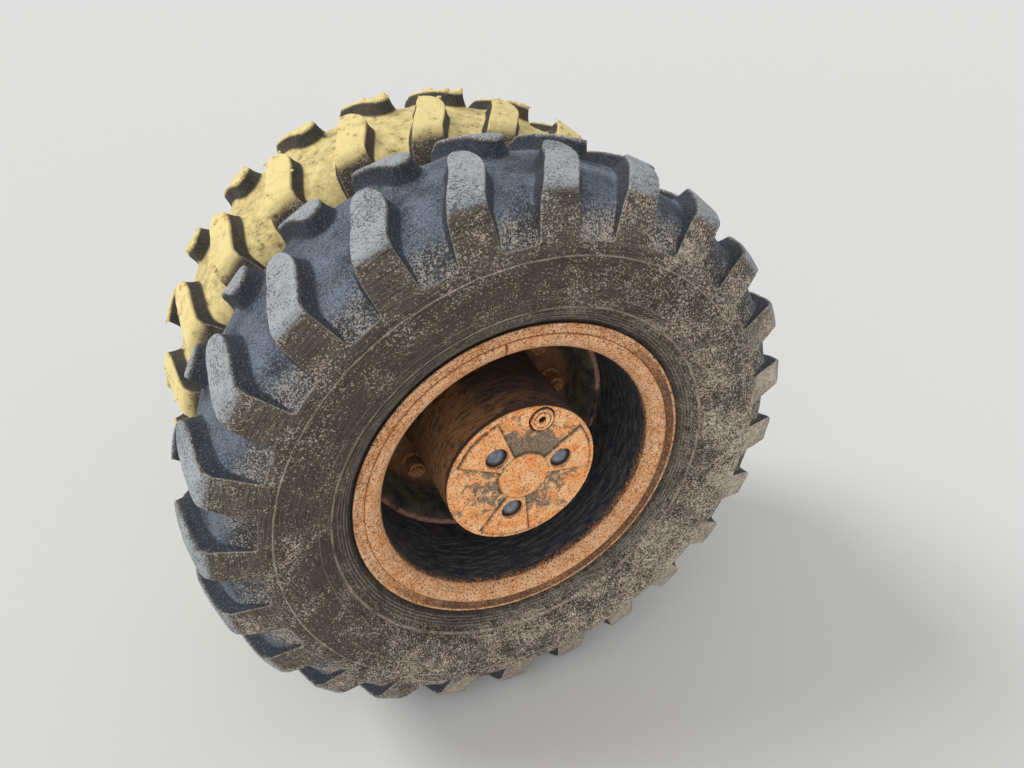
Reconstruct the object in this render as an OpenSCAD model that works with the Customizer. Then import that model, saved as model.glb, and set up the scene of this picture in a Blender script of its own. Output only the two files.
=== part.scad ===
// Twin wheel with planetary hub drive on the end of a rigid excavator axle.
// Frame: +Z up, wheel axis along Y, outboard is -Y, origin at the arm's inner bolt flange.

/* [Twin wheel] */
// Distance between the centre planes of the two tyres
tyre_spacing = 330; // [322:1:345]
// Distance from the arm's bolt flange to the plane where the two discs meet
wheel_reach = 697; // [690:1:760]

/* [Tyre] */
// Outer diameter over the lugs
tyre_od = 1060; // [1040:2:1090]
// Widest width of one tyre
tyre_w = 290; // [280:1:300]
// Height of a lug at the centre line
lug_h = 30; // [20:1:34]
// Lugs in each of the two rows
lug_count = 24; // [22:1:24]
// Width across the tread from shoulder to shoulder
tread_w = 242; // [232:1:250]
// How much lower the tread is at the shoulder than at the centre line
crown_drop = 25; // [15:1:30]
// Radius of the moulded line under the lugs
side_line_r = 411; // [404:1:418]
// Rubber thickness of the side wall
side_wall_t = 14; // [10:1:18]
// Angle at which the outer tyre's first lug stands
outer_tyre_turn = 11; // [0:0.5:15]
// Angle at which the inner tyre's first lug stands
inner_tyre_turn = 4; // [0:0.5:15]

/* [Rim] */
// Diameter of the bead seat
seat_d = 508; // [500:1:516]
// Width between the flanges
rim_w = 190.5; // [184:0.5:196]
// Height of the flange above the bead seat
flange_h = 38; // [34:1:42]
// How far the flange curls out past its inner face
flange_curl = 12.5; // [10:0.5:14]
// Thickness of the rim base
rim_t = 11; // [9:0.5:14]

/* [Disc] */
// Thickness of the wheel disc
disc_t = 14; // [10:1:16]
// Radius of the flat middle of the disc
disc_flat_r = 202; // [200:1:206]

/* [Bolting] */
// Wheel studs
stud_count = 10; // [8:1:12]
// Pitch circle of the wheel studs
stud_pcd = 335; // [330:1:345]
// Diameter of a wheel stud
stud_d = 22; // [18:1:24]
// Width of a wheel nut across its flats
nut_af = 32; // [30:1:34]
// Height of a wheel nut above its collar
nut_h = 27; // [20:1:30]
// Thickness of the nut's collar
nut_collar_t = 6; // [4:1:8]

/* [Hub] */
// Diameter of the planet housing at its outer face
barrel_d = 272; // [264:1:274]
// Centre bore of the discs
disc_bore = 281; // [279:1:284]
// Distance from the disc plane to the outer face of the cover
barrel_len = 257; // [230:1:262]
// Diameter of the hub's bolt flange
hub_flange_d = 384; // [372:1:386]
// Thickness of the hub's bolt flange
hub_flange_t = 24; // [18:1:28]
// Radius of the cover's central boss
boss_r = 46; // [40:1:50]
// Pitch radius of the three planet pins
pin_pitch_r = 71; // [66:1:74]
// Diameter of a planet pin
pin_d = 38; // [32:1:42]
// Pitch radius of the oil plug
plug_pitch_r = 111; // [106:1:112]
// Diameter of the oil plug's head
plug_d = 45; // [38:1:46]

/* [Axle arm] */
// Diameter of the arm's inner bolt flange
arm_flange_d = 330; // [320:1:345]
// Pitch circle of the arm's bolt holes
arm_pcd = 290; // [284:1:294]
// Bolt holes in the arm's flange
arm_bolt_count = 12; // [8:1:14]
// Diameter of the arm's bolt holes
arm_bolt_d = 17.5; // [13:0.5:20]
// Outer diameter of the arm's tube
arm_tube_d = 172; // [150:1:190]
// Thickness of the arm's inner bolt flange
arm_flange_t = 24; // [18:1:30]
// Length of the brake housing
brake_len = 190; // [180:1:210]
// Length of the chassis pad along the axle
pad_len = 200; // [190:1:204]
// Width of the chassis pad
pad_w = 250; // [230:1:270]
// Height of the pad's top face above the wheel axis
pad_h = 160; // [150:1:180]

/* [Half shaft] */
// Diameter over the splines
spline_d = 50; // [44:1:56]
// Splines on the half shaft
spline_count = 20; // [16:1:26]
// How far the splined end stands out of the arm's flange
spline_reach = 62; // [50:1:80]

/* [Hidden] */
$fn = 96;

// Gap between curved faces that seat on each other, and clearance of the hub on its spindle
seat_gap = 0.3;
run_gap = 0.08;
// Distance between the brake housing and the disc plane
brake_gap = 62;
// Spindle on which the hub runs, and the shaft's passage through it
spindle_d = 130;
spindle_v = 100;
shaft_bore_d = 64;
arm_bore_d = 78;
// Oil seal at the arm's flange and the shaft's collar that runs in it
shaft_seal_d = 96;
shaft_seal_depth = 18;
shaft_collar_d = spline_d + 4;
// Width of one spline, half of its pitch
spline_tooth = PI * spline_d / spline_count / 2;

// Heights of the wheel's planes above the disc plane, measured outwards
tyre_v = tyre_spacing / 2;
rim_out_v = tyre_v + rim_w / 2;
rim_in_v = tyre_v - rim_w / 2;
curl_out_v = rim_out_v + flange_curl;
seat_r = seat_d / 2;
flange_r = seat_r + flange_h;
rim_bore_r = seat_r - rim_t;
half_w = tyre_w / 2;
half_tread = tread_w / 2;
crown_r = tyre_od / 2;
base_r = crown_r - lug_h;
shoulder_r = crown_r - crown_drop;
lug_step = 360 / lug_count;
// Radius where the grooves between the lugs run out on the side wall
groove_end_r = side_line_r + 19;
hub_back_v = -disc_t - hub_flange_t;
pilot_r = disc_bore / 2 - 0.5;
barrel_r = barrel_d / 2;

// Outer diameter of the brake housing, which turns free inside the inner rim
brake_d = 2 * rim_bore_r - 86;
// Planes of the fixed parts, measured outboard from the arm's bolt flange
brake_out = wheel_reach - brake_gap;
brake_in = brake_out - brake_len;
seat_flange_t = 22;
pad_start = arm_flange_t + 16;
brake_bolt_r = brake_d / 2 - 36;
brake_bolt_af = 21;
brake_bolt_h = 10;
// Radius of the hub's back shoulder and of the brake housing's collar facing it
shoulder_collar_r = 150;

// Places a child modelled along +Z with its base on the disc plane
module at_wheel() {
    translate([0, -wheel_reach, 0]) rotate([90, 0, 0]) children();
}

// The inner wheel is the outer one seen in the mirror of the disc plane
module at_inner_wheel() {
    at_wheel() mirror([0, 0, 1]) children();
}

// Places a child modelled along +Z with its base on the arm's bolt flange
module at_arm() {
    rotate([90, 0, 0]) children();
}

// Revolves a profile of [radius, height] points
module turned(profile) {
    rotate_extrude() polygon(profile);
}

// Copies a child round the axis
module around(count, radius, start = 0) {
    for (i = [0 : count - 1])
        rotate([0, 0, start + i * 360 / count]) translate([radius, 0, 0]) children();
}

// Radius of the tread's top face at u from the centre plane
function crown_at(u) = crown_r - crown_drop * pow(abs(u) / half_tread, 2);

// Radius of the groove floor at u from the centre plane
groove_end_u = half_w - 5;
function floor_at(u) =
    groove_end_r + (base_r - groove_end_r) * pow(1 - pow(min(1, abs(u) / groove_end_u), 2.6), 0.5);

// Half section of the casing as [radius, u], from the crown outside to the crown inside
bead_u = rim_w / 2 - seat_gap;
wall_fall_r = 77.5;
wall_fall_u = 56;
bead_r = seat_r + seat_gap;
casing_half = concat(
    [for (u = [0, 37, 74, 98, 111, 122.5, 130, 135.5]) [floor_at(u), u]],
    [[groove_end_r, groove_end_u],
        [side_line_r + 3, half_w - 2], [side_line_r + 1.5, half_w + 0.5],
        [side_line_r - 1.5, half_w + 0.5], [side_line_r - 3, half_w - 1.5]],
    [for (a = [0, 14, 28, 42, 54])
        [side_line_r - 26 - wall_fall_r * sin(a), half_w - 1 - wall_fall_u * (1 - cos(a))]],
    [[flange_r + 10, bead_u + flange_curl + 3], [flange_r + 1.5, bead_u + flange_curl + 0.5],
        [flange_r + 1.5, bead_u + flange_curl - 4.5], [flange_r - 6, bead_u + 3], [seat_r + 24, bead_u],
        [seat_r + 12, bead_u], [bead_r, bead_u - 9.5],
        [bead_r, bead_u - 32], [seat_r + 12, bead_u - 38],
        [flange_r - 4, bead_u - 22],
        [330, half_w - side_wall_t - 24], [360, half_w - side_wall_t - 8],
        [395, half_w - side_wall_t - 1], [425, half_w - side_wall_t - 8],
        [450, half_w - side_wall_t - 30], [468, half_w - side_wall_t - 62],
        [base_r - 22, 30], [base_r - 20, 0]]);
casing_profile = concat(casing_half,
    [for (i = [len(casing_half) - 2 : -1 : 1]) [casing_half[i][0], -casing_half[i][1]]]);

// Section of the ring from which the lugs of one row are cut
lug_band = concat(
    [for (u = [-14, 12, 48, 84, 114]) [crown_at(u), u]],
    [[shoulder_r - 3, half_tread], [groove_end_r - 4, half_w - 1],
        [side_line_r + 4, half_w - 1], [side_line_r + 6, half_w - 12],
        [groove_end_r + 12, half_w - 26], [base_r - 22, 84], [base_r - 10, 40], [base_r - 10, -14]]);

// Outline of a lug as [u outwards, t round the tread], rounded at its inner end
lug_outline = [[half_w + 8, 50], [half_tread + 2, 47], [88, 31], [59, 16], [30, 7], [16, -1], [11, -12],
    [20, -26], [42, -34], [66, -32], [92, -20], [half_tread + 2, -4], [half_w + 8, -7]];

module lug_row() {
    intersection() {
        turned(lug_band);
        for (k = [0 : lug_count - 1])
            rotate([0, 0, k * lug_step]) rotate([0, 90, 0]) translate([0, 0, side_line_r - 30])
                linear_extrude(crown_r - side_line_r + 40)
                    polygon([for (p = lug_outline) [-p[0], p[1]]]);
    }
}

// One tyre about its own centre plane, both rows leaning the same way round
module tyre() {
    union() {
        turned(casing_profile);
        lug_row();
        rotate([0, 0, lug_step / 2]) mirror([0, 0, 1]) lug_row();
    }
}

// Rim base: fixed flange next to the disc plane, thinned end that carries the lock ring outside
ring_seat_v = rim_out_v - 16;
base_end_v = rim_out_v - 8.7;
ring_seat_r = seat_r - 4.3;
module rim_base() {
    turned([[rim_bore_r, rim_in_v - 4], [seat_r + 20, rim_in_v - 9],
        [flange_r - 5, rim_in_v - flange_curl], [flange_r, rim_in_v - flange_curl],
        [flange_r, rim_in_v - flange_curl + 4], [flange_r - 6, rim_in_v - 5],
        [seat_r + 24, rim_in_v], [seat_r, rim_in_v],
        [seat_r, ring_seat_v - seat_gap], [ring_seat_r, ring_seat_v - seat_gap],
        [ring_seat_r, base_end_v], [rim_bore_r, base_end_v]]);
}

// Dished disc from the flat bolting face to the rim base
disc_edge_v = rim_in_v + 16;
module disc() {
    turned([[disc_bore / 2, 0], [disc_flat_r - 2, 0], [disc_flat_r + 10, 5],
        [rim_bore_r - 16, rim_in_v - 14], [rim_bore_r, rim_in_v - 4], [rim_bore_r, disc_edge_v],
        [rim_bore_r - 11, disc_edge_v], [rim_bore_r - 24, rim_in_v - 6],
        [disc_flat_r + 2, disc_t + 7], [disc_flat_r - 7, disc_t], [disc_bore / 2, disc_t]]);
}

stud_start = 6;
valve_angle = 130;
split_angle = 100;
valve_r = rim_bore_r;
module wheel_rim() {
    difference() {
        union() {
            rim_base();
            disc();
        }
        around(stud_count, stud_pcd / 2, stud_start)
            translate([0, 0, -1]) cylinder(d = stud_d + 4, h = disc_t + 2);
    }
}

// Loose side ring with the outer flange
module side_ring() {
    turned([[seat_r + 12, rim_out_v + seat_gap], [seat_r + 24, rim_out_v + seat_gap],
        [flange_r - 8, rim_out_v + 4], [flange_r - 1, curl_out_v - 4],
        [flange_r, curl_out_v - 2], [flange_r - 1, curl_out_v], [flange_r - 5, curl_out_v],
        [flange_r - 10, curl_out_v - 4], [seat_r + 20, curl_out_v - 5],
        [seat_r + 19.5, rim_out_v + 6.2]]);
}

// Split ring that locks the side ring, its sloping face outwards
module lock_ring() {
    difference() {
        turned([[ring_seat_r + seat_gap, ring_seat_v], [ring_seat_r + seat_gap, base_end_v + seat_gap],
            [rim_bore_r + 0.7, base_end_v + seat_gap], [seat_r + 16, curl_out_v - 2],
            [seat_r + 18.5, curl_out_v - 3], [seat_r + 18.5, rim_out_v + 6],
            [seat_r - 0.5, rim_out_v - 9.2], [seat_r - 0.5, ring_seat_v]]);
        rotate([0, 0, split_angle]) translate([seat_r - 20, -2, ring_seat_v - 1])
            cube([60, 4, curl_out_v - ring_seat_v + 2]);
    }
}

module valve(angle) {
    rotate([0, 0, angle]) translate([valve_r - 9, 0, tyre_v]) {
        cylinder(d = 13, h = 46);
        translate([0, 0, 46]) cylinder(d = 10, h = 14);
        rotate([0, 90, 0]) cylinder(d = 17, h = 9 - seat_gap);
    }
}

arm_root_r = arm_tube_d / 2 + 10;
pad_t = 26;
rib_t = 18;
rib_depth = arm_tube_d / 2 + 40;
pad_bolt_d = 26;
breather_a = pad_start + pad_len + 40;
breather_h = arm_tube_d / 2 + 18;
module axle_arm() {
    color("dimgray") at_arm() difference() {
        union() {
            turned([[0, 0], [arm_flange_d / 2, 0], [arm_flange_d / 2, arm_flange_t - 2],
                [arm_flange_d / 2 - 2, arm_flange_t], [arm_root_r + 14, arm_flange_t],
                [arm_root_r, arm_flange_t + 14], [arm_tube_d / 2, brake_in - 70],
                [arm_tube_d / 2 + 22, brake_in - seat_flange_t - 18],
                [brake_bolt_r - brake_bolt_af / 2 - 4, brake_in - seat_flange_t],
                [brake_d / 2 - 20, brake_in - seat_flange_t],
                [brake_d / 2 - 20, brake_in], [0, brake_in]]);
            translate([-pad_w / 2, pad_h - pad_t, pad_start]) cube([pad_w, pad_t, pad_len]);
            for (x = [-pad_w / 2 + 26, pad_w / 2 - 26 - rib_t])
                translate([x, 0, pad_start]) cube([rib_t, pad_h - pad_t / 2, pad_len]);
            translate([-rib_t / 2, -rib_depth, arm_flange_t - 4])
                cube([rib_t, rib_depth, brake_in - arm_flange_t - seat_flange_t + 8]);
            translate([0, arm_bore_d / 2 + 15, breather_a]) rotate([-90, 0, 0])
                cylinder(d = 34, h = breather_h - arm_bore_d / 2 - 15);
        }
        translate([0, 0, -1]) cylinder(d = arm_bore_d, h = brake_in + 2);
        translate([0, 0, -1]) cylinder(d = shaft_seal_d, h = shaft_seal_depth + 1);
        around(arm_bolt_count, arm_pcd / 2, 15)
            translate([0, 0, -1]) cylinder(d = arm_bolt_d, h = arm_flange_t + 4);
        for (x = [-1, 1], z = [-1, 1])
            translate([x * (pad_w / 2 - 30), pad_h + 1, pad_start + pad_len / 2 + z * (pad_len / 2 - 30)])
                rotate([90, 0, 0]) cylinder(d = pad_bolt_d, h = pad_t + 14);
    }
}

// Bosses on the brake housing: [angle, distance outboard of its flange, diameter]
port_boss = [60, 62, 40];
bleed_boss = [86, 62, 30];
level_boss = [212, 100, 44];
boss_top_r = brake_d / 2 - 3;

module on_brake(boss) {
    at_arm() rotate([0, 0, boss[0]]) translate([0, 0, brake_in + boss[1]]) rotate([0, 90, 0])
        children();
}

module brake_housing() {
    color("dimgray") difference() {
        union() {
            at_arm() turned([[0, brake_in], [brake_d / 2, brake_in], [brake_d / 2, brake_in + 20],
                [brake_d / 2 - 10, brake_in + 26], [brake_d / 2 - 10, brake_out - 34],
                [brake_d / 2 - 24, brake_out - 16], [shoulder_collar_r, brake_out - 12],
                [shoulder_collar_r, brake_out],
                [spindle_d / 2, brake_out], [spindle_d / 2, wheel_reach + spindle_v],
                [0, wheel_reach + spindle_v]]);
            for (boss = [port_boss, bleed_boss, level_boss])
                on_brake(boss) translate([0, 0, boss_top_r - 40]) cylinder(d = boss[2], h = 40);
        }
        at_arm() translate([0, 0, brake_in - 1])
            cylinder(d = shaft_bore_d, h = wheel_reach + spindle_v - brake_in + 2);
    }
}

module brake_bolts() {
    color("gray") at_arm() around(arm_bolt_count, brake_bolt_r, 15)
        translate([0, 0, brake_in - seat_flange_t - brake_bolt_h])
            cylinder(d = brake_bolt_af / cos(30), h = brake_bolt_h, $fn = 6);
}

module brake_port() {
    color("gray") on_brake(port_boss) translate([0, 0, boss_top_r]) {
        cylinder(d = 26, h = 12, $fn = 6);
        cylinder(d = 14, h = 24);
    }
}

module bleed_screw() {
    color("gray") on_brake(bleed_boss) translate([0, 0, boss_top_r]) {
        cylinder(d = 16, h = 8, $fn = 6);
        cylinder(d = 8, h = 18);
    }
}

module level_plug() {
    color("gray") on_brake(level_boss) translate([0, 0, boss_top_r]) {
        cylinder(d = 32, h = 4);
        cylinder(d = 22, h = 12, $fn = 6);
    }
}

module breather() {
    color("gray") at_arm() translate([0, breather_h, breather_a]) rotate([-90, 0, 0]) {
        cylinder(d = 18, h = 8, $fn = 6);
        cylinder(d = 12, h = 12);
        translate([0, 0, 12]) cylinder(d = 22, h = 12);
    }
}

module arm_shaft_seal() {
    color("black") at_arm() translate([0, 0, 6]) difference() {
        cylinder(d = shaft_seal_d, h = shaft_seal_depth - 6);
        translate([0, 0, -1]) cylinder(d = shaft_collar_d + 2 * seat_gap, h = shaft_seal_depth);
    }
}

module half_shaft() {
    color("silver") at_arm() union() {
        translate([0, 0, -spline_reach])
            cylinder(d = spline_d - 5, h = spline_reach + wheel_reach + spindle_v - 4);
        translate([0, 0, -spline_reach + 3]) intersection() {
            cylinder(d = spline_d, h = spline_reach - 3);
            around(spline_count, 0)
                translate([0, -spline_tooth / 2, 0]) cube([spline_d, spline_tooth, spline_reach]);
        }
        cylinder(d = shaft_collar_d, h = 30);
    }
}

module hub() {
    color("saddlebrown") at_wheel() difference() {
        turned([[spindle_d / 2 + run_gap, hub_back_v - 16], [shoulder_collar_r - 8, hub_back_v - 16],
            [shoulder_collar_r, hub_back_v],
            [hub_flange_d / 2, hub_back_v], [hub_flange_d / 2, -disc_t], [pilot_r, -disc_t],
            [pilot_r, disc_t], [barrel_r + 2, disc_t + 8], [barrel_r, cover_v],
            [0, cover_v], [0, spindle_v + 12], [spindle_d / 2 + run_gap, spindle_v + 12]]);
        around(stud_count, stud_pcd / 2, stud_start)
            translate([0, 0, hub_back_v - 1]) cylinder(d = stud_d, h = hub_flange_t + 2);
    }
}

// The cover: its plate stands between cover_v and cover_plate_v, boss and lobes reach barrel_len
cover_v = barrel_len - 14;
cover_plate_v = barrel_len - 3;
pin_start = 15;
plug_angle = 75;
plug_seat_v = barrel_len - 8;
lobe_angle = 22;

module hub_cover() {
    color("peru") at_wheel() difference() {
        translate([0, 0, cover_v]) union() {
            cylinder(r = barrel_r, h = cover_plate_v - cover_v);
            cylinder(r = boss_r, h = barrel_len - cover_v);
            intersection() {
                cylinder(r = barrel_r - 10, h = barrel_len - cover_v);
                around(3, 0, pin_start) linear_extrude(barrel_len - cover_v)
                    polygon([[0, 0], barrel_r * [1.1, tan(lobe_angle)], barrel_r * [1.1, -tan(lobe_angle)]]);
            }
        }
        around(3, pin_pitch_r, pin_start)
            translate([0, 0, cover_v - 1]) cylinder(d = pin_d, h = barrel_len);
        around(1, plug_pitch_r, plug_angle)
            translate([0, 0, plug_seat_v]) cylinder(d = plug_d, h = barrel_len);
    }
}

// The pins' ends lie sunk in the cover
module planet_pins() {
    color("slategray") at_wheel() around(3, pin_pitch_r, pin_start)
        translate([0, 0, cover_v]) cylinder(d = pin_d - 2 * seat_gap, h = 7);
}

module cover_plug() {
    color("peru") at_wheel() around(1, plug_pitch_r, plug_angle)
        translate([0, 0, plug_seat_v]) difference() {
            cylinder(d = plug_d - 2, h = 7);
            translate([0, 0, 1]) cylinder(d = 10, h = 10);
        }
}

stud_head_t = 9;
stud_end_v = disc_t + nut_collar_t + nut_h + 8;
module wheel_studs() {
    color("gray") at_wheel() around(stud_count, stud_pcd / 2, stud_start) {
        translate([0, 0, hub_back_v]) cylinder(d = stud_d - 2 * seat_gap, h = stud_end_v - hub_back_v);
        translate([0, 0, hub_back_v - stud_head_t]) cylinder(d = stud_d + 10, h = stud_head_t);
    }
}

module wheel_nuts() {
    color("sienna") at_wheel() around(stud_count, stud_pcd / 2, stud_start)
        translate([0, 0, disc_t]) difference() {
            union() {
                cylinder(d = nut_af / cos(30), h = nut_collar_t + nut_h, $fn = 6);
                cylinder(d = nut_af + 14, h = nut_collar_t);
            }
            translate([0, 0, -1]) cylinder(d = stud_d, h = nut_collar_t + nut_h + 2);
        }
}

module outer_rim() {
    color("#20242c") at_wheel() wheel_rim();
}

module inner_rim() {
    color("#20242c") at_inner_wheel() wheel_rim();
}

module outer_side_ring() {
    color("chocolate") at_wheel() side_ring();
}

module inner_side_ring() {
    color("chocolate") at_inner_wheel() side_ring();
}

module outer_lock_ring() {
    color("chocolate") at_wheel() lock_ring();
}

module inner_lock_ring() {
    color("chocolate") at_inner_wheel() lock_ring();
}

module outer_tyre() {
    color("#2c2a28") at_wheel() translate([0, 0, tyre_v]) rotate([0, 0, outer_tyre_turn]) tyre();
}

module inner_tyre() {
    color("#2c2a28") at_wheel() translate([0, 0, -tyre_v]) rotate([0, 0, inner_tyre_turn]) tyre();
}

module outer_valve() {
    color("dimgray") at_wheel() valve(valve_angle);
}

module inner_valve() {
    color("dimgray") at_inner_wheel() valve(valve_angle + 180);
}

axle_arm();
brake_housing();
brake_bolts();
brake_port();
bleed_screw();
level_plug();
breather();
arm_shaft_seal();
half_shaft();
hub();
hub_cover();
cover_plug();
planet_pins();
wheel_studs();
wheel_nuts();
outer_rim();
inner_rim();
outer_side_ring();
inner_side_ring();
outer_lock_ring();
inner_lock_ring();
outer_tyre();
inner_tyre();
outer_valve();
inner_valve();
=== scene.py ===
"""Twin wheel with hub drive and axle arm: the finished look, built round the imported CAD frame."""

import math

import bmesh
import bpy
import numpy as np
from bpy.props import FloatProperty, FloatVectorProperty, IntProperty, PointerProperty
from mathutils import Matrix, Vector, noise


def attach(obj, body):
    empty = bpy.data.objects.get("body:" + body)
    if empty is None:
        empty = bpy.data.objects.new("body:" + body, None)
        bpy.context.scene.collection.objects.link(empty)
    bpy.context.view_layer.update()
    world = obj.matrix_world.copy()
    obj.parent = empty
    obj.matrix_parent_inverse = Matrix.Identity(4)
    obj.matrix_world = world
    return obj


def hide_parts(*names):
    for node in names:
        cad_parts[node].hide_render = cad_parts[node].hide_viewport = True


bl_info = {"name": "Twin Wheel With Hub Drive", "version": (1, 0, 0), "blender": (4, 5, 0),
           "location": "View3D > Sidebar > Twin Wheel",
           "description": "Builds lugged twin tyres, rims, hub and axle arm round a CAD frame",
           "category": "Object"}

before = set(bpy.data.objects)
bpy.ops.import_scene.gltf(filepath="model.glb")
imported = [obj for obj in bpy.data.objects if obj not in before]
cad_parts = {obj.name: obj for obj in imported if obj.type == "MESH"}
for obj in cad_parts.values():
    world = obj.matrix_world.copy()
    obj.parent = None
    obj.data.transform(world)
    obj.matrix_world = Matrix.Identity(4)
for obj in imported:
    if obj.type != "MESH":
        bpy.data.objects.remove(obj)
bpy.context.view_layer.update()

MM = 0.001
TAU = 2 * math.pi

# Places of the part's own frame: the disc plane, the wheel axis along Y, outboard is -Y
WHEEL_REACH = 0.697
TYRE_OFFSET = 0.165
OUTER_WHEEL = Matrix.Translation((0, -WHEEL_REACH, 0)) @ Matrix.Rotation(math.pi / 2, 4, "X")
INNER_WHEEL = OUTER_WHEEL @ Matrix.Diagonal((1, 1, -1, 1))
OUTER_TYRE = OUTER_WHEEL @ Matrix.Translation((0, 0, TYRE_OFFSET))
INNER_TYRE = OUTER_WHEEL @ Matrix.Translation((0, 0, -TYRE_OFFSET))
COVER_LIP = WHEEL_REACH + 0.2515
FLOOR_Z = -0.5305


def srgb(red, green, blue):
    """A colour as a picture shows it, 0 to 255, as the linear colour that Blender takes."""
    def linear(c):
        c /= 255
        return c / 12.92 if c <= 0.04045 else ((c + 0.055) / 1.055) ** 2.4
    return linear(red), linear(green), linear(blue)


def colour(name, about, default):
    return FloatVectorProperty(
        name=name, description=about, default=srgb(*default), size=3, min=0, max=1, subtype="COLOR")


def number(name, about, default, least, most):
    return IntProperty(name=name, description=about, default=default, min=least, max=most)


def bearing(name, about, degrees):
    return FloatProperty(name=name, description=about, default=math.radians(degrees), subtype="ANGLE")


def length(name, about, default):
    return FloatProperty(name=name, description=about, default=default, min=0, unit="LENGTH")


class TyreSettings(bpy.types.PropertyGroup):
    lug_count: number("Lugs a row", "Lugs in each row of the tread", 24, 8, 40)
    outer_turn: bearing("Outer tyre turn", "Angle of the outer tyre's first lug", 11)
    inner_turn: bearing("Inner tyre turn", "Angle of the inner tyre's first lug", 4)
    edge_round: length("Lug edge", "Rounding of a lug's worn top edge", 2.4 * MM)
    pocket_scoop: length("Pocket scoop", "Depth of the scoop in the pockets beside the lugs", 5 * MM)
    unevenness: length("Unevenness", "How far worn rubber departs from its moulded shape", 1.1 * MM)
    clod_count: number("Clods", "Clods of dried mud on the inner tread", 420, 0, 900)


class WheelSettings(bpy.types.PropertyGroup):
    ring_steps: number("Ring steps", "Steps of the turned rings", 224, 48, 360)
    edge: length("Edge", "Rounding of the turned parts' edges", 1.2 * MM)
    cast_edge: length("Cast edge", "Rounding of the cast parts' edges", 1.6 * MM)
    weld_size: length("Weld", "Radius of the weld bead between disc and rim", 5.5 * MM)
    stud_count: number("Studs", "Wheel studs on their circle", 10, 4, 16)


class FinishSettings(bpy.types.PropertyGroup):
    rubber: colour("Rubber", "Bare rubber of the side walls", (78, 69, 60))
    rubber_haze: colour("Rubber haze", "Grey haze on the outer ends of the lugs", (116, 107, 98))
    rubber_dust: colour("Side wall dust", "Pale dust speckled over the side walls", (204, 189, 168))
    # The outer tyre's blue grey dust tones are dust with painted shade: the blue of skylight on dust in
    # shade.
    lug_dust_in_shade: colour("Lug dust", "Blue grey dust on the outer tyre's lugs", (174, 178, 180))
    pocket_dust_in_shade: colour("Pocket dust", "Blue grey dust in the pockets", (114, 123, 136))
    # The pocket shade tone is painted shade: the shaded copy of the pocket dust.
    pocket_painted_shade: colour("Pocket shade", "Dark rubber in the pockets", (58, 61, 70))
    # The dry mud tone is sandy mud made as bright as mud in sunlight: partly painted sunlight.
    mud: colour("Dry mud", "Sandy mud on the inner tyre's lugs", (246, 225, 156))
    mud_dark: colour("Mud shade", "Darker grains of the sandy mud", (150, 124, 78))
    rust_pale: colour("Pale rust", "Tan rust of the lock rings", (232, 184, 142))
    rust: colour("Rust", "Orange rust", (214, 148, 92))
    rust_dark: colour("Dark rust", "Brown rust", (108, 66, 42))
    cover_pale: colour("Cover, pale rust", "Tan rust of the hub cover", (254, 201, 146))
    cover_rust: colour("Cover, rust", "Orange rust of the hub cover", (250, 157, 82))
    bare_steel: colour("Bare steel", "Grey steel under the rust", (138, 128, 110))
    disc_rust: colour("Disc rust", "Brown rust on the disc round the nuts", (148, 102, 62))
    casting: colour("Casting", "Dark brown skin of the hub's barrel", (72, 52, 42))
    dish: colour("Dish", "Olive dirt on the dish of the disc", (96, 88, 66))
    rim_paint: colour("Rim paint", "Near black paint inside the rims", (27, 32, 42))
    rim_dust: colour("Rim dust", "Grey streaks inside the rims", (112, 108, 102))
    frame_paint: colour("Frame paint", "Dark grey paint of the axle arm", (66, 66, 68))
    axle_dirt: colour("Axle dirt", "Road dirt on the axle arm", (156, 138, 114))
    pin_steel: colour("Pin steel", "Blue grey ends of the planet pins", (146, 156, 168))
    floor: colour("Floor", "Pale studio floor", (226, 226, 223))


# Small helpers for shader nodes

def put(tree, kind, inputs=None, **settings):
    """Adds a node, sets its settings and fills or links its inputs."""
    node = tree.nodes.new(kind)
    for key, value in settings.items():
        setattr(node, key, value)
    for key, value in (inputs or {}).items():
        if isinstance(value, bpy.types.NodeSocket):
            tree.links.new(value, node.inputs[key])
        else:
            node.inputs[key].default_value = value
    return node


def tree_of(*values):
    """The node tree that the first socket among some values belongs to."""
    return next(value.id_data for value in values if isinstance(value, bpy.types.NodeSocket))


def math_of(operation, first, second=0.0):
    return put(tree_of(first, second), "ShaderNodeMath", {0: first, 1: second},
               operation=operation).outputs[0]


def add(first, second):
    return math_of("ADD", first, second)


def sub(first, second):
    return math_of("SUBTRACT", first, second)


def mul(first, second):
    return math_of("MULTIPLY", first, second)


def ramp(value, low, high, start, end, how="LINEAR"):
    """Number that goes from start to end while a value goes from low to high."""
    inputs = {"Value": value, "From Min": low, "From Max": high, "To Min": start, "To Max": end}
    return put(tree_of(value), "ShaderNodeMapRange", inputs, interpolation_type=how).outputs["Result"]


def band(value, low, high):
    """Mask that rises smoothly from 0 at low to 1 at high. It falls where high is below low."""
    if high < low:
        return ramp(value, high, low, 1.0, 0.0, "SMOOTHSTEP")
    return ramp(value, low, high, 0.0, 1.0, "SMOOTHSTEP")


def grain(vector, scale, detail, roughness, distortion=0.0):
    """Noise between 0 and 1, finer as its scale grows."""
    inputs = {"Vector": vector, "Scale": scale, "Detail": detail, "Roughness": roughness,
              "Distortion": distortion}
    return put(tree_of(vector), "ShaderNodeTexNoise", inputs).outputs["Fac"]


def blend(mask, first, second):
    """Mixes two colours, each a socket or three numbers."""
    sockets = [c if isinstance(c, bpy.types.NodeSocket) else (*c[:3], 1) for c in (first, second)]
    return put(tree_of(mask), "ShaderNodeMix", {0: mask, 6: sockets[0], 7: sockets[1]}, data_type="RGBA",
               clamp_factor=True).outputs[2]


def over(base, mask, share, tone):
    """Lays a tone over a base where a mask shows, with a share of its full strength."""
    return blend(mul(mask, share), base, tone)


def shade(tone, share):
    return [c * share for c in tone]


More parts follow.
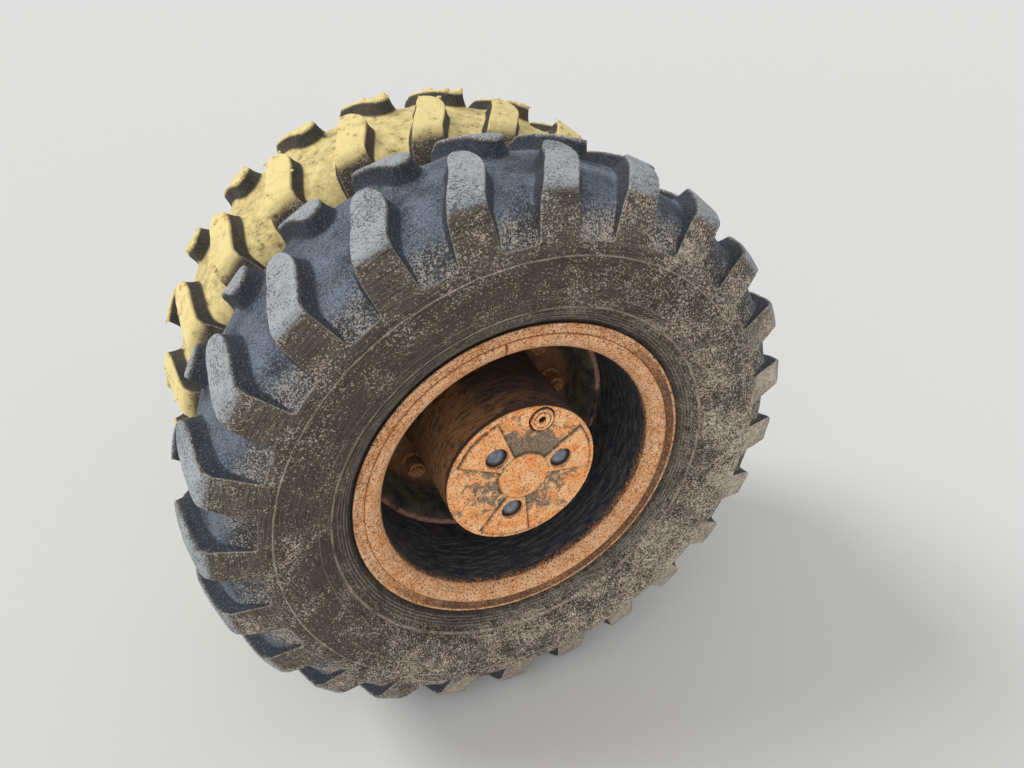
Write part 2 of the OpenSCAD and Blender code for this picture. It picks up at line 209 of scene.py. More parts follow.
def between(first, second, share):
    """A tone that holds a share of the second colour."""
    return [(1 - share) * a + share * b for a, b in zip(first, second)]


def attribute(tree, name):
    return put(tree, "ShaderNodeAttribute", attribute_name=name).outputs["Fac"]


def facing(place, direction):
    """How far a place lies in a direction, in metres times the direction's length."""
    return put(tree_of(place), "ShaderNodeVectorMath", {0: place, 1: direction},
               operation="DOT_PRODUCT").outputs["Value"]


FLOAT, COLOUR, VECTOR = "NodeSocketFloat", "NodeSocketColor", "NodeSocketVector"


def new_group(name, outputs, **inputs):
    """An empty shader node group. A default of 1, 3 or 4 numbers makes a float, vector or colour."""
    tree = bpy.data.node_groups.new(name, "ShaderNodeTree")
    for label, default in inputs.items():
        kind = FLOAT if isinstance(default, float) else VECTOR if len(default) == 3 else COLOUR
        tree.interface.new_socket(label, in_out="INPUT", socket_type=kind).default_value = default
    for label, kind in outputs.items():
        tree.interface.new_socket(label, in_out="OUTPUT", socket_type=kind)
    tree.nodes.new("NodeGroupOutput")
    return tree, tree.nodes.new("NodeGroupInput").outputs


def give(tree, **results):
    """Links a group's results to its outputs."""
    for label, value in results.items():
        tree.links.new(value, tree.nodes["Group Output"].inputs[label])


def use_group(group, **inputs):
    return put(tree_of(*inputs.values()), "ShaderNodeGroup", inputs,
               node_tree=bpy.data.node_groups[group]).outputs


def rusty(place, scale, pale, rust, dark, pitting, grit=0.3):
    """Outputs of the rust group for three tones, each three numbers."""
    return use_group("RustMottle", Vector=place, Scale=scale, Pale=(*pale, 1), Rust=(*rust, 1),
                     Dark=(*dark, 1), Pitting=pitting, Grit=grit)


def make_ring_group():
    """Wheel coordinates: radius, distance outboard, and a vector whose grain runs round the wheel."""
    tree, given = new_group("WheelRound", {"Radius": FLOAT, "Outboard": FLOAT, "Round": VECTOR},
                            Vector=(0, 0, 0), Across=500.0, Along=9.0)
    split = put(tree, "ShaderNodeSeparateXYZ", {0: given["Vector"]}).outputs
    flat = put(tree, "ShaderNodeCombineXYZ", {"X": split["X"], "Y": split["Z"], "Z": 0.0}).outputs[0]
    radius = put(tree, "ShaderNodeVectorMath", {0: flat}, operation="LENGTH").outputs["Value"]
    direction = put(tree, "ShaderNodeVectorMath", {0: flat}, operation="NORMALIZE").outputs[0]
    aim = put(tree, "ShaderNodeSeparateXYZ", {0: direction}).outputs
    depth = add(radius, mul(split["Y"], 0.7))
    along = {axis: mul(aim[axis], given["Along"]) for axis in "XY"}
    wound = put(tree, "ShaderNodeCombineXYZ", {**along, "Z": mul(depth, given["Across"])}).outputs[0]
    give(tree, Radius=radius, Outboard=mul(split["Y"], -1.0), Round=wound)


def make_speckle_group():
    """Fine dust grains on top of broad smears, as a mask from 0 to 1."""
    tree, given = new_group("DustSpeckle", {"Mask": FLOAT, "Height": FLOAT}, Vector=(0, 0, 0), Grain=520.0,
                            Amount=0.5, Smear=14.0)
    fine = grain(given["Vector"], given["Grain"], 2.0, 0.7)
    coarse = grain(given["Vector"], mul(given["Grain"], 0.4), 3.0, 0.65)
    smear = grain(given["Vector"], given["Smear"], 4.0, 0.6, 0.4)
    total = add(add(fine, mul(coarse, 0.28)), mul(smear, 0.5))
    level = sub(1.14, mul(given["Amount"], 0.5))
    give(tree, Mask=band(sub(total, level), -0.07, 0.07), Height=add(fine, coarse))


def make_rust_group():
    """Mottled rust: pale bloom, orange, brown and dark pits, with its height."""
    tree, given = new_group(
        "RustMottle", {"Color": COLOUR, "Height": FLOAT}, Vector=(0, 0, 0), Scale=60.0, Pale=(1, 1, 1, 1),
        Rust=(1, 0.5, 0.2, 1), Dark=(0.1, 0.05, 0.02, 1), Pitting=0.5, Grit=0.3)
    broad = grain(given["Vector"], given["Scale"], 5.0, 0.62, 0.3)
    fine = grain(given["Vector"], mul(given["Scale"], 6.0), 4.0, 0.7)
    specks = grain(given["Vector"], mul(given["Scale"], 9.0), 2.0, 0.75)
    pale = band(add(mul(broad, 0.55), mul(fine, 0.45)), 0.40, 0.60)
    tone = blend(pale, given["Rust"], given["Pale"])
    low = add(mul(fine, 0.6), mul(specks, 0.4))
    pits = band(sub(low, mul(given["Pitting"], 0.22)), 0.36, 0.26)
    grit = ramp(specks, 0.3, 0.7, sub(1.0, given["Grit"]), add(1.0, given["Grit"]))
    tone = put(tree, "ShaderNodeVectorMath", {0: tone, "Scale": grit}, operation="SCALE").outputs[0]
    give(tree, Color=blend(pits, tone, given["Dark"]), Height=sub(low, mul(pits, 0.4)))


def finish_material(base, rough, height, distance, metallic=0.0):
    """Links a material's colour, roughness and height, each a socket or a number, to its shader."""
    tree = base.id_data
    inputs = tree.nodes["Principled BSDF"].inputs
    tree.links.new(base, inputs["Base Color"])
    if isinstance(rough, bpy.types.NodeSocket):
        tree.links.new(rough, inputs["Roughness"])
    else:
        inputs["Roughness"].default_value = rough
    inputs["Metallic"].default_value = metallic
    bump = put(tree, "ShaderNodeBump", {"Height": height, "Strength": 0.7, "Distance": distance})
    tree.links.new(bump.outputs[0], inputs["Normal"])


def start_material(name):
    """A material's tree, and the place on the object as a vector."""
    material = bpy.data.materials.new(name)
    material.use_nodes = True
    place = material.node_tree.nodes.new("ShaderNodeTexCoord").outputs["Object"]
    return material.node_tree, place


def material_named(name):
    found = bpy.data.materials.get(name)
    if found is None:
        raise RuntimeError(f"the finishes come first: there is no material {name}")
    return found


# Bands on the wheel where a finish changes, as its start and end: radii, then distances outboard
LUG_END, LUG_HAZE, SHOULDER_SPECKS = (0.492, 0.446), (0.395, 0.440), (0.40, 0.45)
SHOULDER_DUST, BEAD, RING_GROOVE_SHADE = (0.405, 0.455), (0.345, 0.296), (0.2885, 0.2855)
DISH, RIM_WALL, NUT_ZONE = (0.2405, 0.2340), (0.236, 0.240), (0.207, 0.199)
RIM_LIP = (WHEEL_REACH + 0.276, WHEEL_REACH + 0.292)
COVER_EDGE = (COVER_LIP + 1 * MM, COVER_LIP - 1 * MM)


def make_rubber(name, look, top_dust_and_light, top_dark, pocket_dust_in_shade, pocket_painted_shade, muddy):
    """Tyre rubber: dusty lug tops and pockets, whose dust tones carry painted light, painted shade on the
    steep lug walls, and brown side walls with pale grains.
    """
    tree, place = start_material(name)
    ring = use_group("WheelRound", Vector=place, Across=520.0, Along=12.0)
    top, pocket = attribute(tree, "lug_top"), attribute(tree, "pocket")
    worn, steep = attribute(tree, "worn_edge"), attribute(tree, "steep")
    radius = ring["Radius"]
    lines = grain(ring["Round"], 1.0, 3.0, 0.6)
    fine = grain(place, 330.0, 2.0, 0.7)
    clouds = grain(place, 24.0, 4.0, 0.65)
    broad = grain(place, 6.0, 5.0, 0.7, 0.8)
    lower = facing(place, (0.45, 0.0, -0.35))
    dirty = add(broad, lower)

    side = blend(band(lines, 0.36, 0.64), shade(look.rubber, 0.55), shade(look.rubber, 1.1))
    haze = mul(band(radius, *LUG_HAZE), band(lines, 0.34, 0.62))
    side = over(side, haze, 0.4, look.rubber_haze)

    amount = add(ramp(dirty, 0.3, 0.72, 0.22, 0.50), mul(band(radius, *SHOULDER_SPECKS), 0.06))
    specks = use_group("DustSpeckle", Vector=place, Grain=390.0, Amount=amount)
    strength = add(0.72, mul(band(add(dirty, grain(place, 130.0, 2.0, 0.6, 0.8)), 0.72, 1.20), 0.28))
    side = blend(mul(specks["Mask"], strength), side, look.rubber_dust)

    shift = put(tree, "ShaderNodeTexNoise", {"Vector": place, "Scale": 42.0, "Detail": 4.0})
    bent = put(tree, "ShaderNodeMix", {0: 0.03, 4: place, 5: shift.outputs["Color"]},
               data_type="VECTOR").outputs[1]
    cells = put(tree, "ShaderNodeTexVoronoi", {"Vector": bent, "Scale": 30.0},
                feature="DISTANCE_TO_EDGE").outputs["Distance"]
    cracks = mul(band(cells, 0.040, 0.012), mul(band(dirty, 0.48, 0.80), band(clouds, 0.4, 0.6)))
    side = over(side, cracks, 0.7, look.rubber_dust)
    folds = math_of("ABSOLUTE", sub(grain(place, 36.0, 5.0, 0.65, 2.0), 0.5))
    seams = mul(band(folds, 0.028, 0.008), band(dirty, 0.30, 0.60))
    side = over(side, seams, 0.75, shade(look.rubber, 0.3))
    drift = mul(mul(band(radius, *SHOULDER_DUST), band(lower, 0.02, 0.20)), band(fine, 0.36, 0.60))
    side = over(side, drift, 0.55, look.rubber_dust)
    side = over(side, band(radius, *BEAD), 0.75, shade(look.rubber, 0.4))

    dust = use_group("DustSpeckle", Vector=place, Grain=340.0, Amount=0.64, Smear=20.0)
    crown = blend(dust["Mask"], top_dark, top_dust_and_light)
    crown = over(crown, band(clouds, 0.50, 0.68), 0.35, top_dark)
    crown = over(crown, band(fine, 0.46, 0.66), 0.45, top_dark)
    hollow = use_group("DustSpeckle", Vector=place, Grain=390.0, Amount=0.42, Smear=15.0)
    # The pocket floors mix in the pocket shade tone in clouds and patches: painted shade.
    film = blend(band(clouds, 0.34, 0.64), between(pocket_painted_shade, pocket_dust_in_shade, 0.1),
                 between(pocket_painted_shade, pocket_dust_in_shade, 0.8))
    film = over(film, band(fine, 0.60, 0.42), 0.45, shade(pocket_painted_shade, 0.5))
    stain = band(grain(place, 15.0, 5.0, 0.7), 0.52, 0.38)
    film = over(film, stain, 0.6, shade(pocket_painted_shade, 0.5))
    floor = over(film, hollow["Mask"], 0.7, shade(pocket_dust_in_shade, 1.35))
    ends = blend(hollow["Mask"], shade(look.rubber, 0.55), look.rubber_dust)
    outer_end = add(band(radius, *LUG_END), mul(lower, 1.2))
    floor = over(floor, outer_end, 0.8, ends)
    # The wall tone is painted shade: the pocket shade tone at half its brightness, flecked with dust.
    wall_dust = look.rubber if muddy else pocket_dust_in_shade
    wall = over(shade(look.pocket_painted_shade, 0.5), band(fine, 0.54, 0.66), 0.5, wall_dust)

    base = blend(band(pocket, 0.10, 0.42), side, floor)
    # Painted shade: the steep lug walls take the wall tone.
    flank_shade = band(add(steep, mul(fine, 0.4)), 0.35, 0.75)
    base = over(base, flank_shade, 0.9, wall)
    ragged = add(top, mul(fine, 0.9))
    base = blend(band(ragged, 0.80, 1.15), base, crown)
    edge = mul(band(worn, 0.35, 1.0), band(lines, 0.30, 0.60))
    base = over(base, edge, 0.45, look.rubber_dust)
    height = add(mul(specks["Height"], 0.5), sub(lines, add(cracks, seams)))
    if muddy:
        clay = grain(place, 46.0, 6.0, 0.72)
        level = math_of("MAXIMUM", band(top, 0.1, 0.6), band(pocket, 0.7, 0.95))
        # Mud stays off the steep lug walls, so their painted shade shows there.
        covered = mul(level, band(steep, 0.75, 0.30))
        tint = add(mul(band(top, 0.2, 0.8), 0.6), band(clay, 0.42, 0.62))
        coat = blend(tint, between(look.mud, look.mud_dark, 0.38), look.mud)
        coat = over(coat, cracks, 0.5, look.mud_dark)
        base = blend(mul(band(clay, 0.34, 0.46), covered), base, coat)
        height = add(height, mul(clay, 4.0))
    finish_material(base, 0.93, height, 0.9 * MM)


def make_rust(name, pale, rust, dark, scale, pitting, grit=0.3):
    """Rusted steel: two tones of rust, and pits."""
    _, place = start_material(name)
    mottle = rusty(place, scale, pale, rust, dark, pitting, grit)
    finish_material(mottle["Color"], 0.86, mottle["Height"], 0.8 * MM)


def make_pin(look):
    """A pin's end: pale steel in its dish, and painted shade round the rim."""
    tree, place = start_material("PinSteel")
    steel = look.pin_steel
    mottle = rusty(place, 90.0, steel, shade(steel, 0.6), shade(steel, 0.2), 0.5)
    # Painted shade: the pin's end darkens to dark casting brown from 12 to 16 mm out.
    base = blend(attribute(tree, "rim"), mottle["Color"], shade(look.casting, 0.5))
    finish_material(base, 0.5, mottle["Height"], 0.5 * MM, metallic=0.3)


def make_weld(look):
    """The weld between disc and rim: dark paint, rubbed to pinkish rust here and there."""
    _, place = start_material("WeldRust")
    mottle = rusty(place, 90.0, srgb(204, 156, 136), srgb(150, 106, 86), look.rust_dark, 0.6)
    rubbed = band(grain(place, 8.0, 4.0, 0.7), 0.38, 0.50)
    base = blend(rubbed, shade(look.rim_paint, 1.5), mottle["Color"])
    finish_material(base, 0.8, mottle["Height"], 0.8 * MM)


def make_barrel(look):
    """The barrel's dark casting skin: fine scratches round it, purple brown with olive rust."""
    tree, place = start_material("HubCasting")
    ring = use_group("WheelRound", Vector=place, Across=230.0, Along=5.0)
    lines = grain(ring["Round"], 1.0, 5.0, 0.78, 0.3)
    clouds = grain(place, 10.0, 5.0, 0.65, 0.6)
    low = put(tree, "ShaderNodeSeparateXYZ", {0: place}).outputs["X"]
    olive = add(clouds, mul(band(low, 0.02, -0.13), 0.3))
    base = blend(band(olive, 0.50, 0.72), look.casting, look.disc_rust)
    base = over(base, band(lines, 0.53, 0.60), 0.45, shade(look.casting, 2.6))
    base = over(base, band(lines, 0.50, 0.43), 0.75, shade(look.casting, 0.3))
    finish_material(base, 0.78, lines, 0.6 * MM)


def make_rim_paint(look):
    """Near black paint with dusty streaks, olive on the dish and rusty round the nuts."""
    _, place = start_material("RimPaint")
    ring = use_group("WheelRound", Vector=place, Across=240.0, Along=7.0)
    lines = grain(ring["Round"], 1.0, 4.0, 0.7)
    scuffs = grain(place, 150.0, 4.0, 0.75, 0.8)
    clouds = grain(place, 11.0, 5.0, 0.65, 0.5)
    radius = ring["Radius"]
    base = over(look.rim_paint, band(lines, 0.44, 0.66), 0.55, look.rim_dust)
    base = over(base, band(scuffs, 0.55, 0.66), 0.35, look.rim_dust)
    base = over(base, band(clouds, 0.5, 0.7), 0.35, shade(look.dish, 0.6))
    dish = mul(band(radius, *DISH), band(lines, 0.30, 0.62))
    base = over(base, dish, 0.8, look.dish)
    mottle = rusty(place, 40.0, shade(look.rust, 0.34), shade(look.disc_rust, 0.35), look.rust_dark, 0.6)
    base = blend(band(radius, *NUT_ZONE), base, mottle["Color"])
    flakes = rusty(place, 42.0, look.rust, shade(look.rust, 0.6), look.rust_dark, 0.8, 0.5)
    reach = add(ring["Outboard"], mul(scuffs, 0.07))
    lip = mul(band(reach, *RIM_LIP), band(radius, *RIM_WALL))
    base = blend(lip, base, flakes["Color"])
    rough = ramp(clouds, 0.0, 1.0, 0.5, 0.85)
    finish_material(base, rough, add(mul(lines, 0.5), scuffs), 0.5 * MM)


def make_side_ring(look):
    """The side ring's rust: orange above, and lower down a dark band in the groove: painted shade,
    speckled with dust.
    """
    _, place = start_material("SideRingRust")
    ring = use_group("WheelRound", Vector=place)
    mottle = rusty(place, 42.0, look.rust_pale, shade(look.rust, 0.9), look.rust_dark, 0.6, 0.45)
    # Painted shade: a dark band in the groove, only on the side towards +X and -Z, flecked with dust.
    aim = facing(place, (2.4, 0.0, -2.6))
    ragged = grain(place, 40.0, 4.0, 0.7)
    lower = band(add(aim, ragged), 0.1, 0.9)
    dark = mul(band(ring["Radius"], *RING_GROOVE_SHADE), mul(lower, 0.9))
    specks = use_group("DustSpeckle", Vector=place, Grain=280.0, Amount=0.38)
    dirt = blend(specks["Mask"], shade(look.casting, 0.8), shade(look.rust, 0.45))
    base = blend(dark, mottle["Color"], dirt)
    finish_material(base, 0.88, mottle["Height"], 0.8 * MM)


def make_cover(look):
    """The cover's rust: painted shade along its grooves and round its recesses, grey where it is bare
    between the lobes.
    """
    tree, place = start_material("CoverRust")
    mottle = rusty(place, 44.0, look.cover_pale, look.cover_rust, look.rust_dark, 0.5, 0.35)
    groove, bare = attribute(tree, "groove"), attribute(tree, "bare")
    ragged = grain(place, 52.0, 6.0, 0.80, 0.8)
    fine = grain(place, 300.0, 3.0, 0.7)
    steel = blend(band(fine, 0.42, 0.58), shade(look.bare_steel, 0.35), look.bare_steel)
    shown = band(add(bare, ragged), 1.02, 1.10)
    base = over(mottle["Color"], shown, 0.9, steel)
    # Painted shade: dark steel along the grooves and round the recesses, ragged at its edge.
    dark = mul(groove, band(ragged, 0.34, 0.50))
    base = blend(dark, base, shade(look.bare_steel, 0.3))
    ring = use_group("WheelRound", Vector=place)
    base = blend(band(ring["Outboard"], *COVER_EDGE), base, look.casting)
    finish_material(base, 0.85, mottle["Height"], 0.7 * MM)


def make_painted(name, paint, dirt, rust, amount):
    """Painted steel with dirt on faces that look up, and rust along scratches and chipped edges."""
    tree, place = start_material(name)
    normal = put(tree, "ShaderNodeSeparateXYZ", {0: tree.nodes["Texture Coordinate"].outputs["Normal"]})
    clouds = grain(place, 13.0, 8.0, 0.74, 0.7)
    fine = use_group("DustSpeckle", Vector=place, Grain=480.0, Amount=0.5)
    scratch = grain(place, 46.0, 6.0, 0.75, 1.2)
    lying = mul(band(normal.outputs["Z"], 0.1, 0.9), 0.6)
    dusty = mul(fine["Mask"], add(lying, band(clouds, 0.36, 0.68)))
    base = blend(band(scratch, 0.60, 0.66), over(paint, dusty, amount, dirt), rust)
    chips = mul(attribute(tree, "chipped"), band(scratch, 0.40, 0.52))
    base = over(base, chips, 0.8, shade(rust, 1.6))
    finish_material(base, ramp(dusty, 0.0, 1.0, 0.48, 0.9), fine["Height"], 0.35 * MM)


class TW_OT_finishes(bpy.types.Operator):
    """Make the node groups and the materials of rubber, rust, paint and steel"""
    bl_idname = "twin_wheel.finishes"
    bl_label = "Finishes"

    def execute(self, context):
        look = context.scene.tw_finish
        make_ring_group()
        make_speckle_group()
        make_rust_group()
        # The outer tyre takes the blue grey dust tones: dust with painted skylight shade.
        make_rubber("OuterRubber", look, look.lug_dust_in_shade, shade(look.lug_dust_in_shade, 0.30), look.pocket_dust_in_shade,
                    look.pocket_painted_shade, False)
        # The inner tyre takes the mud tones: mud with painted sunlight, and in its pockets the mud at 0.7
        # of its brightness as painted shade.
        make_rubber("InnerRubber", look, look.mud, look.mud_dark, shade(look.mud, 0.7),
                    shade(look.mud_dark, 0.35), True)
        make_rust("LockRingRust", look.rust_pale, look.rust, look.rust_dark, 42.0, 0.55, 0.45)
        make_side_ring(look)
        make_cover(look)
        make_rust("NutRust", look.rust, shade(look.rust, 0.5), look.rust_dark, 70.0, 0.8)
        make_weld(look)
        make_pin(look)
        make_rim_paint(look)
        make_barrel(look)
        make_painted("ArmPaint", look.frame_paint, look.axle_dirt, look.rust_dark, 0.85)
        make_painted("BoltSteel", srgb(96, 94, 92), look.axle_dirt, look.rust_dark, 0.7)
        make_painted("ShaftSteel", srgb(150, 150, 152), srgb(96, 84, 66), srgb(120, 88, 60), 0.4)
        make_painted("SealRubber", srgb(38, 36, 36), look.axle_dirt, srgb(50, 46, 44), 0.4)
        make_painted("ValveBrass", srgb(120, 104, 74), look.rubber_dust, srgb(70, 56, 38), 0.7)
        return {"FINISHED"}


# Mesh helpers

MERGE = 1e-6


def stored(bm, name="copy"):
    """Moves a bmesh into a new mesh."""
    mesh = bpy.data.meshes.new(name)
    bm.to_mesh(mesh)
    bm.free()
    return mesh


def finish_piece(bm, name, material, node=None, body="wheel", sharp=38, place=OUTER_WHEEL,
                 flip_check=True):
    """Turns a bmesh into a piece at the origin that rides on a body, and may stand for a node."""
    bmesh.ops.transform(bm, matrix=place, verts=bm.verts)
    if flip_check:
        bmesh.ops.recalc_face_normals(bm, faces=bm.faces)
    mesh = stored(bm, name)
    mesh.materials.append(material_named(material))
    mesh.shade_smooth()
    mesh.set_sharp_from_angle(angle=math.radians(sharp))
    piece = bpy.data.objects.new(name, mesh)
    bpy.context.scene.collection.objects.link(piece)
    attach(piece, body)
    if node is not None:
        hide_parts(node)


def only(kind, geom):
    return [g for g in geom if isinstance(g, kind)]


def mark(bm, key, wear):
    """Gives each point a number, which a material reads as an attribute."""
    layer = bm.verts.layers.float.new(key)
    for vert in bm.verts:
        vert[layer] = wear(vert)


def profile_edges(bm, points, corners=(), closed=True):
    """A section in the XZ plane as [radius, height] in millimetres, with some corners rounded."""
    verts = [bm.verts.new((r * MM, 0, v * MM)) for r, v in points]
    bm.faces.new(verts)
    for radius, segments, chosen in corners:
        bmesh.ops.bevel(bm, geom=[verts[i] for i in chosen], offset=radius * MM, segments=segments,
                        profile=0.5, affect="VERTICES", material=-1, clamp_overlap=True)
    bmesh.ops.delete(bm, geom=bm.faces[:], context="FACES_ONLY")
    if not closed:
        axis_edges = [e for e in bm.edges if all(abs(v.co.x) < MERGE for v in e.verts)]
        bmesh.ops.delete(bm, geom=axis_edges, context="EDGES")


def spun(bm, geom, angle, steps, **how):
    return bmesh.ops.spin(bm, geom=geom, cent=(0, 0, 0), axis=(0, 0, 1), angle=angle, steps=steps, **how)


def turned(points, steps, corners=(), axis_end=False):
    """A closed section turned about the wheel axis. axis_end: the section touches the axis."""
    bm = bmesh.new()
    profile_edges(bm, points, corners, closed=not axis_end)
    spun(bm, bm.verts[:] + bm.edges[:], TAU, steps, use_merge=True)
    bmesh.ops.remove_doubles(bm, verts=bm.verts, dist=MERGE)
    return bm


def around(source, count, radius, start):
    """Copies a small shape onto a circle about the wheel axis, from a start angle in degrees."""
    bm = bmesh.new()
    mesh = stored(source)
    for k in range(count):
        before = len(bm.verts)
        bm.from_mesh(mesh)
        bm.verts.ensure_lookup_table()
        turn = Matrix.Rotation(math.radians(start) + k * TAU / count, 4, "Z")
        bmesh.ops.transform(bm, matrix=turn @ Matrix.Translation((radius, 0, 0)), verts=bm.verts[before:])
    bpy.data.meshes.remove(mesh)
    return bm


# The tread

# Half outline of a lug as [outwards from the centre plane, round the tread], in millimetres
LUG_OUTLINE = [(260, 50), (150, 50), (123, 47), (88, 31), (59, 16), (30, 7), (16, -1), (11, -12),
               (20, -26), (42, -34), (66, -32), (92, -20), (123, -4), (150, -7), (260, -7)]
HALF_TREAD, CROWN_R, CROWN_DROP, SHOULDER_R = 121.0, 530.0, 25.0, 505.0
SLAB_END = (143.5, 428.0)
# The pockets' floor, a superellipse over the casing that lags behind the lug's top
POCKET_END_R, FLOOR_U, FLOOR_RISE, FLOOR_POWER, FLOOR_LAG = 430.0, 140.0, 70.0, 2.6, 8.0
# Half of a lug's least width, and the reach over which rows straighten towards the centre plane
LEAST_HALF, STRAIGHT_REACH = 9.0, 15.0
ROWS_TOP = [0, 3, 6, 8.5, 10, 11.2, 12.5, 14, 16, 18.5, 21.5, 25, 28.5, 32.5, 37, 42, 48, 55, 63, 71.5, 80,
            89, 98, 106, 111.5, 115.5, 118.3, 120.2, 121.4]
SHOULDER_FALL = [0.2, 0.8, 1.9, 3.6, 5.9]
ROWS_SLAB = [0.085, 0.115, 0.15, 0.20, 0.27, 0.37, 0.47, 0.57, 0.66, 0.74, 0.81, 0.865, 0.905, 0.94, 0.965,
             0.985, 1.0]
ROWS_END = [(144.2, 423.5), (144.3, 419), (143.9, 416), (142.6, 414)]
TOP_COLUMNS = [0, 0.025, 0.07, 0.14, 0.24, 0.37, 0.5, 0.63, 0.76, 0.86, 0.93, 0.975, 1]
WALL_COLUMNS = [0.06, 0.16, 0.30, 0.50, 0.75, 1]
GROOVE_STEPS = 12
COLUMNS = len(TOP_COLUMNS) - 1 + 2 * len(WALL_COLUMNS) + GROOVE_STEPS


def smoothed(points, rounds=2):
    """Corner cutting of an open line."""
    points = np.array(points, float)
    for _ in range(rounds):
        first, second = points[:-1], points[1:]
        cut = np.stack([0.78 * first + 0.22 * second, 0.22 * first + 0.78 * second], 1).reshape(-1, 2)
        points = np.vstack([points[:1], cut, points[-1:]])
    return points


def outline_distance(u, t, outline):
    """Signed distance of points to the closed outline, negative inside."""
    start, end = outline, np.roll(outline, -1, 0)
    along = end - start
    du, dt = u[..., None] - start[:, 0], t[..., None] - start[:, 1]
    share = np.clip((du * along[:, 0] + dt * along[:, 1]) / (along ** 2).sum(1), 0, 1)
    away = np.hypot(du - share * along[:, 0], dt - share * along[:, 1]).min(-1)
    crosses = (start[:, 1] > t[..., None]) != (end[:, 1] > t[..., None])
    with np.errstate(divide="ignore", invalid="ignore"):
        side = du < (t[..., None] - start[:, 1]) * along[:, 0] / along[:, 1]
    inside = (crosses & side).sum(-1) % 2 == 1
    return np.where(inside, -away, away)


def smooth_min(first, second, k):
    share = np.clip(0.5 + 0.5 * (second - first) / k, 0, 1)
    return second * (1 - share) + first * share - k * share * (1 - share)


def tread_paths(scoop):
    """For each row: distance along the top, top [u, r], floor [u, r] and the outward normal."""
    top, floor, along = [], [], []
    for u in ROWS_TOP:
        top.append((u, CROWN_R - CROWN_DROP * (u / HALF_TREAD) ** 2))
        along.append(u)
        lag = u - FLOOR_LAG * (u / HALF_TREAD) ** 2
        rise = FLOOR_RISE * math.sqrt(1 - (lag / FLOOR_U) ** FLOOR_POWER)
        floor.append((lag, POCKET_END_R + rise))
    for row, fall in enumerate(SHOULDER_FALL, len(top) - len(SHOULDER_FALL)):
        top[row] = (top[row][0], top[row][1] - fall)
    start, end = np.array((HALF_TREAD, SHOULDER_R - 3)), np.array(SLAB_END)
    reach = np.linalg.norm(end - start)
    outward = np.array((start[1] - end[1], end[0] - start[0])) / reach
    first_floor = floor[-1][1]
    close = (start[1] - POCKET_END_R) / (start[1] - end[1])
    for share in ROWS_SLAB:
        point = start + share * (end - start)
        top.append(tuple(point))
        along.append(HALF_TREAD + share * reach)
        r = first_floor + (POCKET_END_R - first_floor) * min(1, share / close)
        u = FLOOR_U * max(0.0, 1 - ((r - POCKET_END_R) / FLOOR_RISE) ** 2) ** (1 / FLOOR_POWER)
        sink = scoop * math.sin(math.pi * min(1, share / close) ** 1.3) ** 0.8 if share < close else 0
        spot = np.array((u, r)) - outward * (sink + 1.2 * min(1, share / 0.6))
        floor.append(tuple(spot))
    for u, r in ROWS_END:
        top.append((u, r))
        floor.append((u - 1, r))
        along.append(along[-1] + 4)
    top, floor = np.array(top), np.array(floor)
    tangent = np.gradient(top, axis=0)
    normal = np.stack([-tangent[:, 1], tangent[:, 0]], 1)
    normal /= np.linalg.norm(normal, axis=1)[:, None]
    return np.array(along), top, floor, normal, HALF_TREAD + close * reach


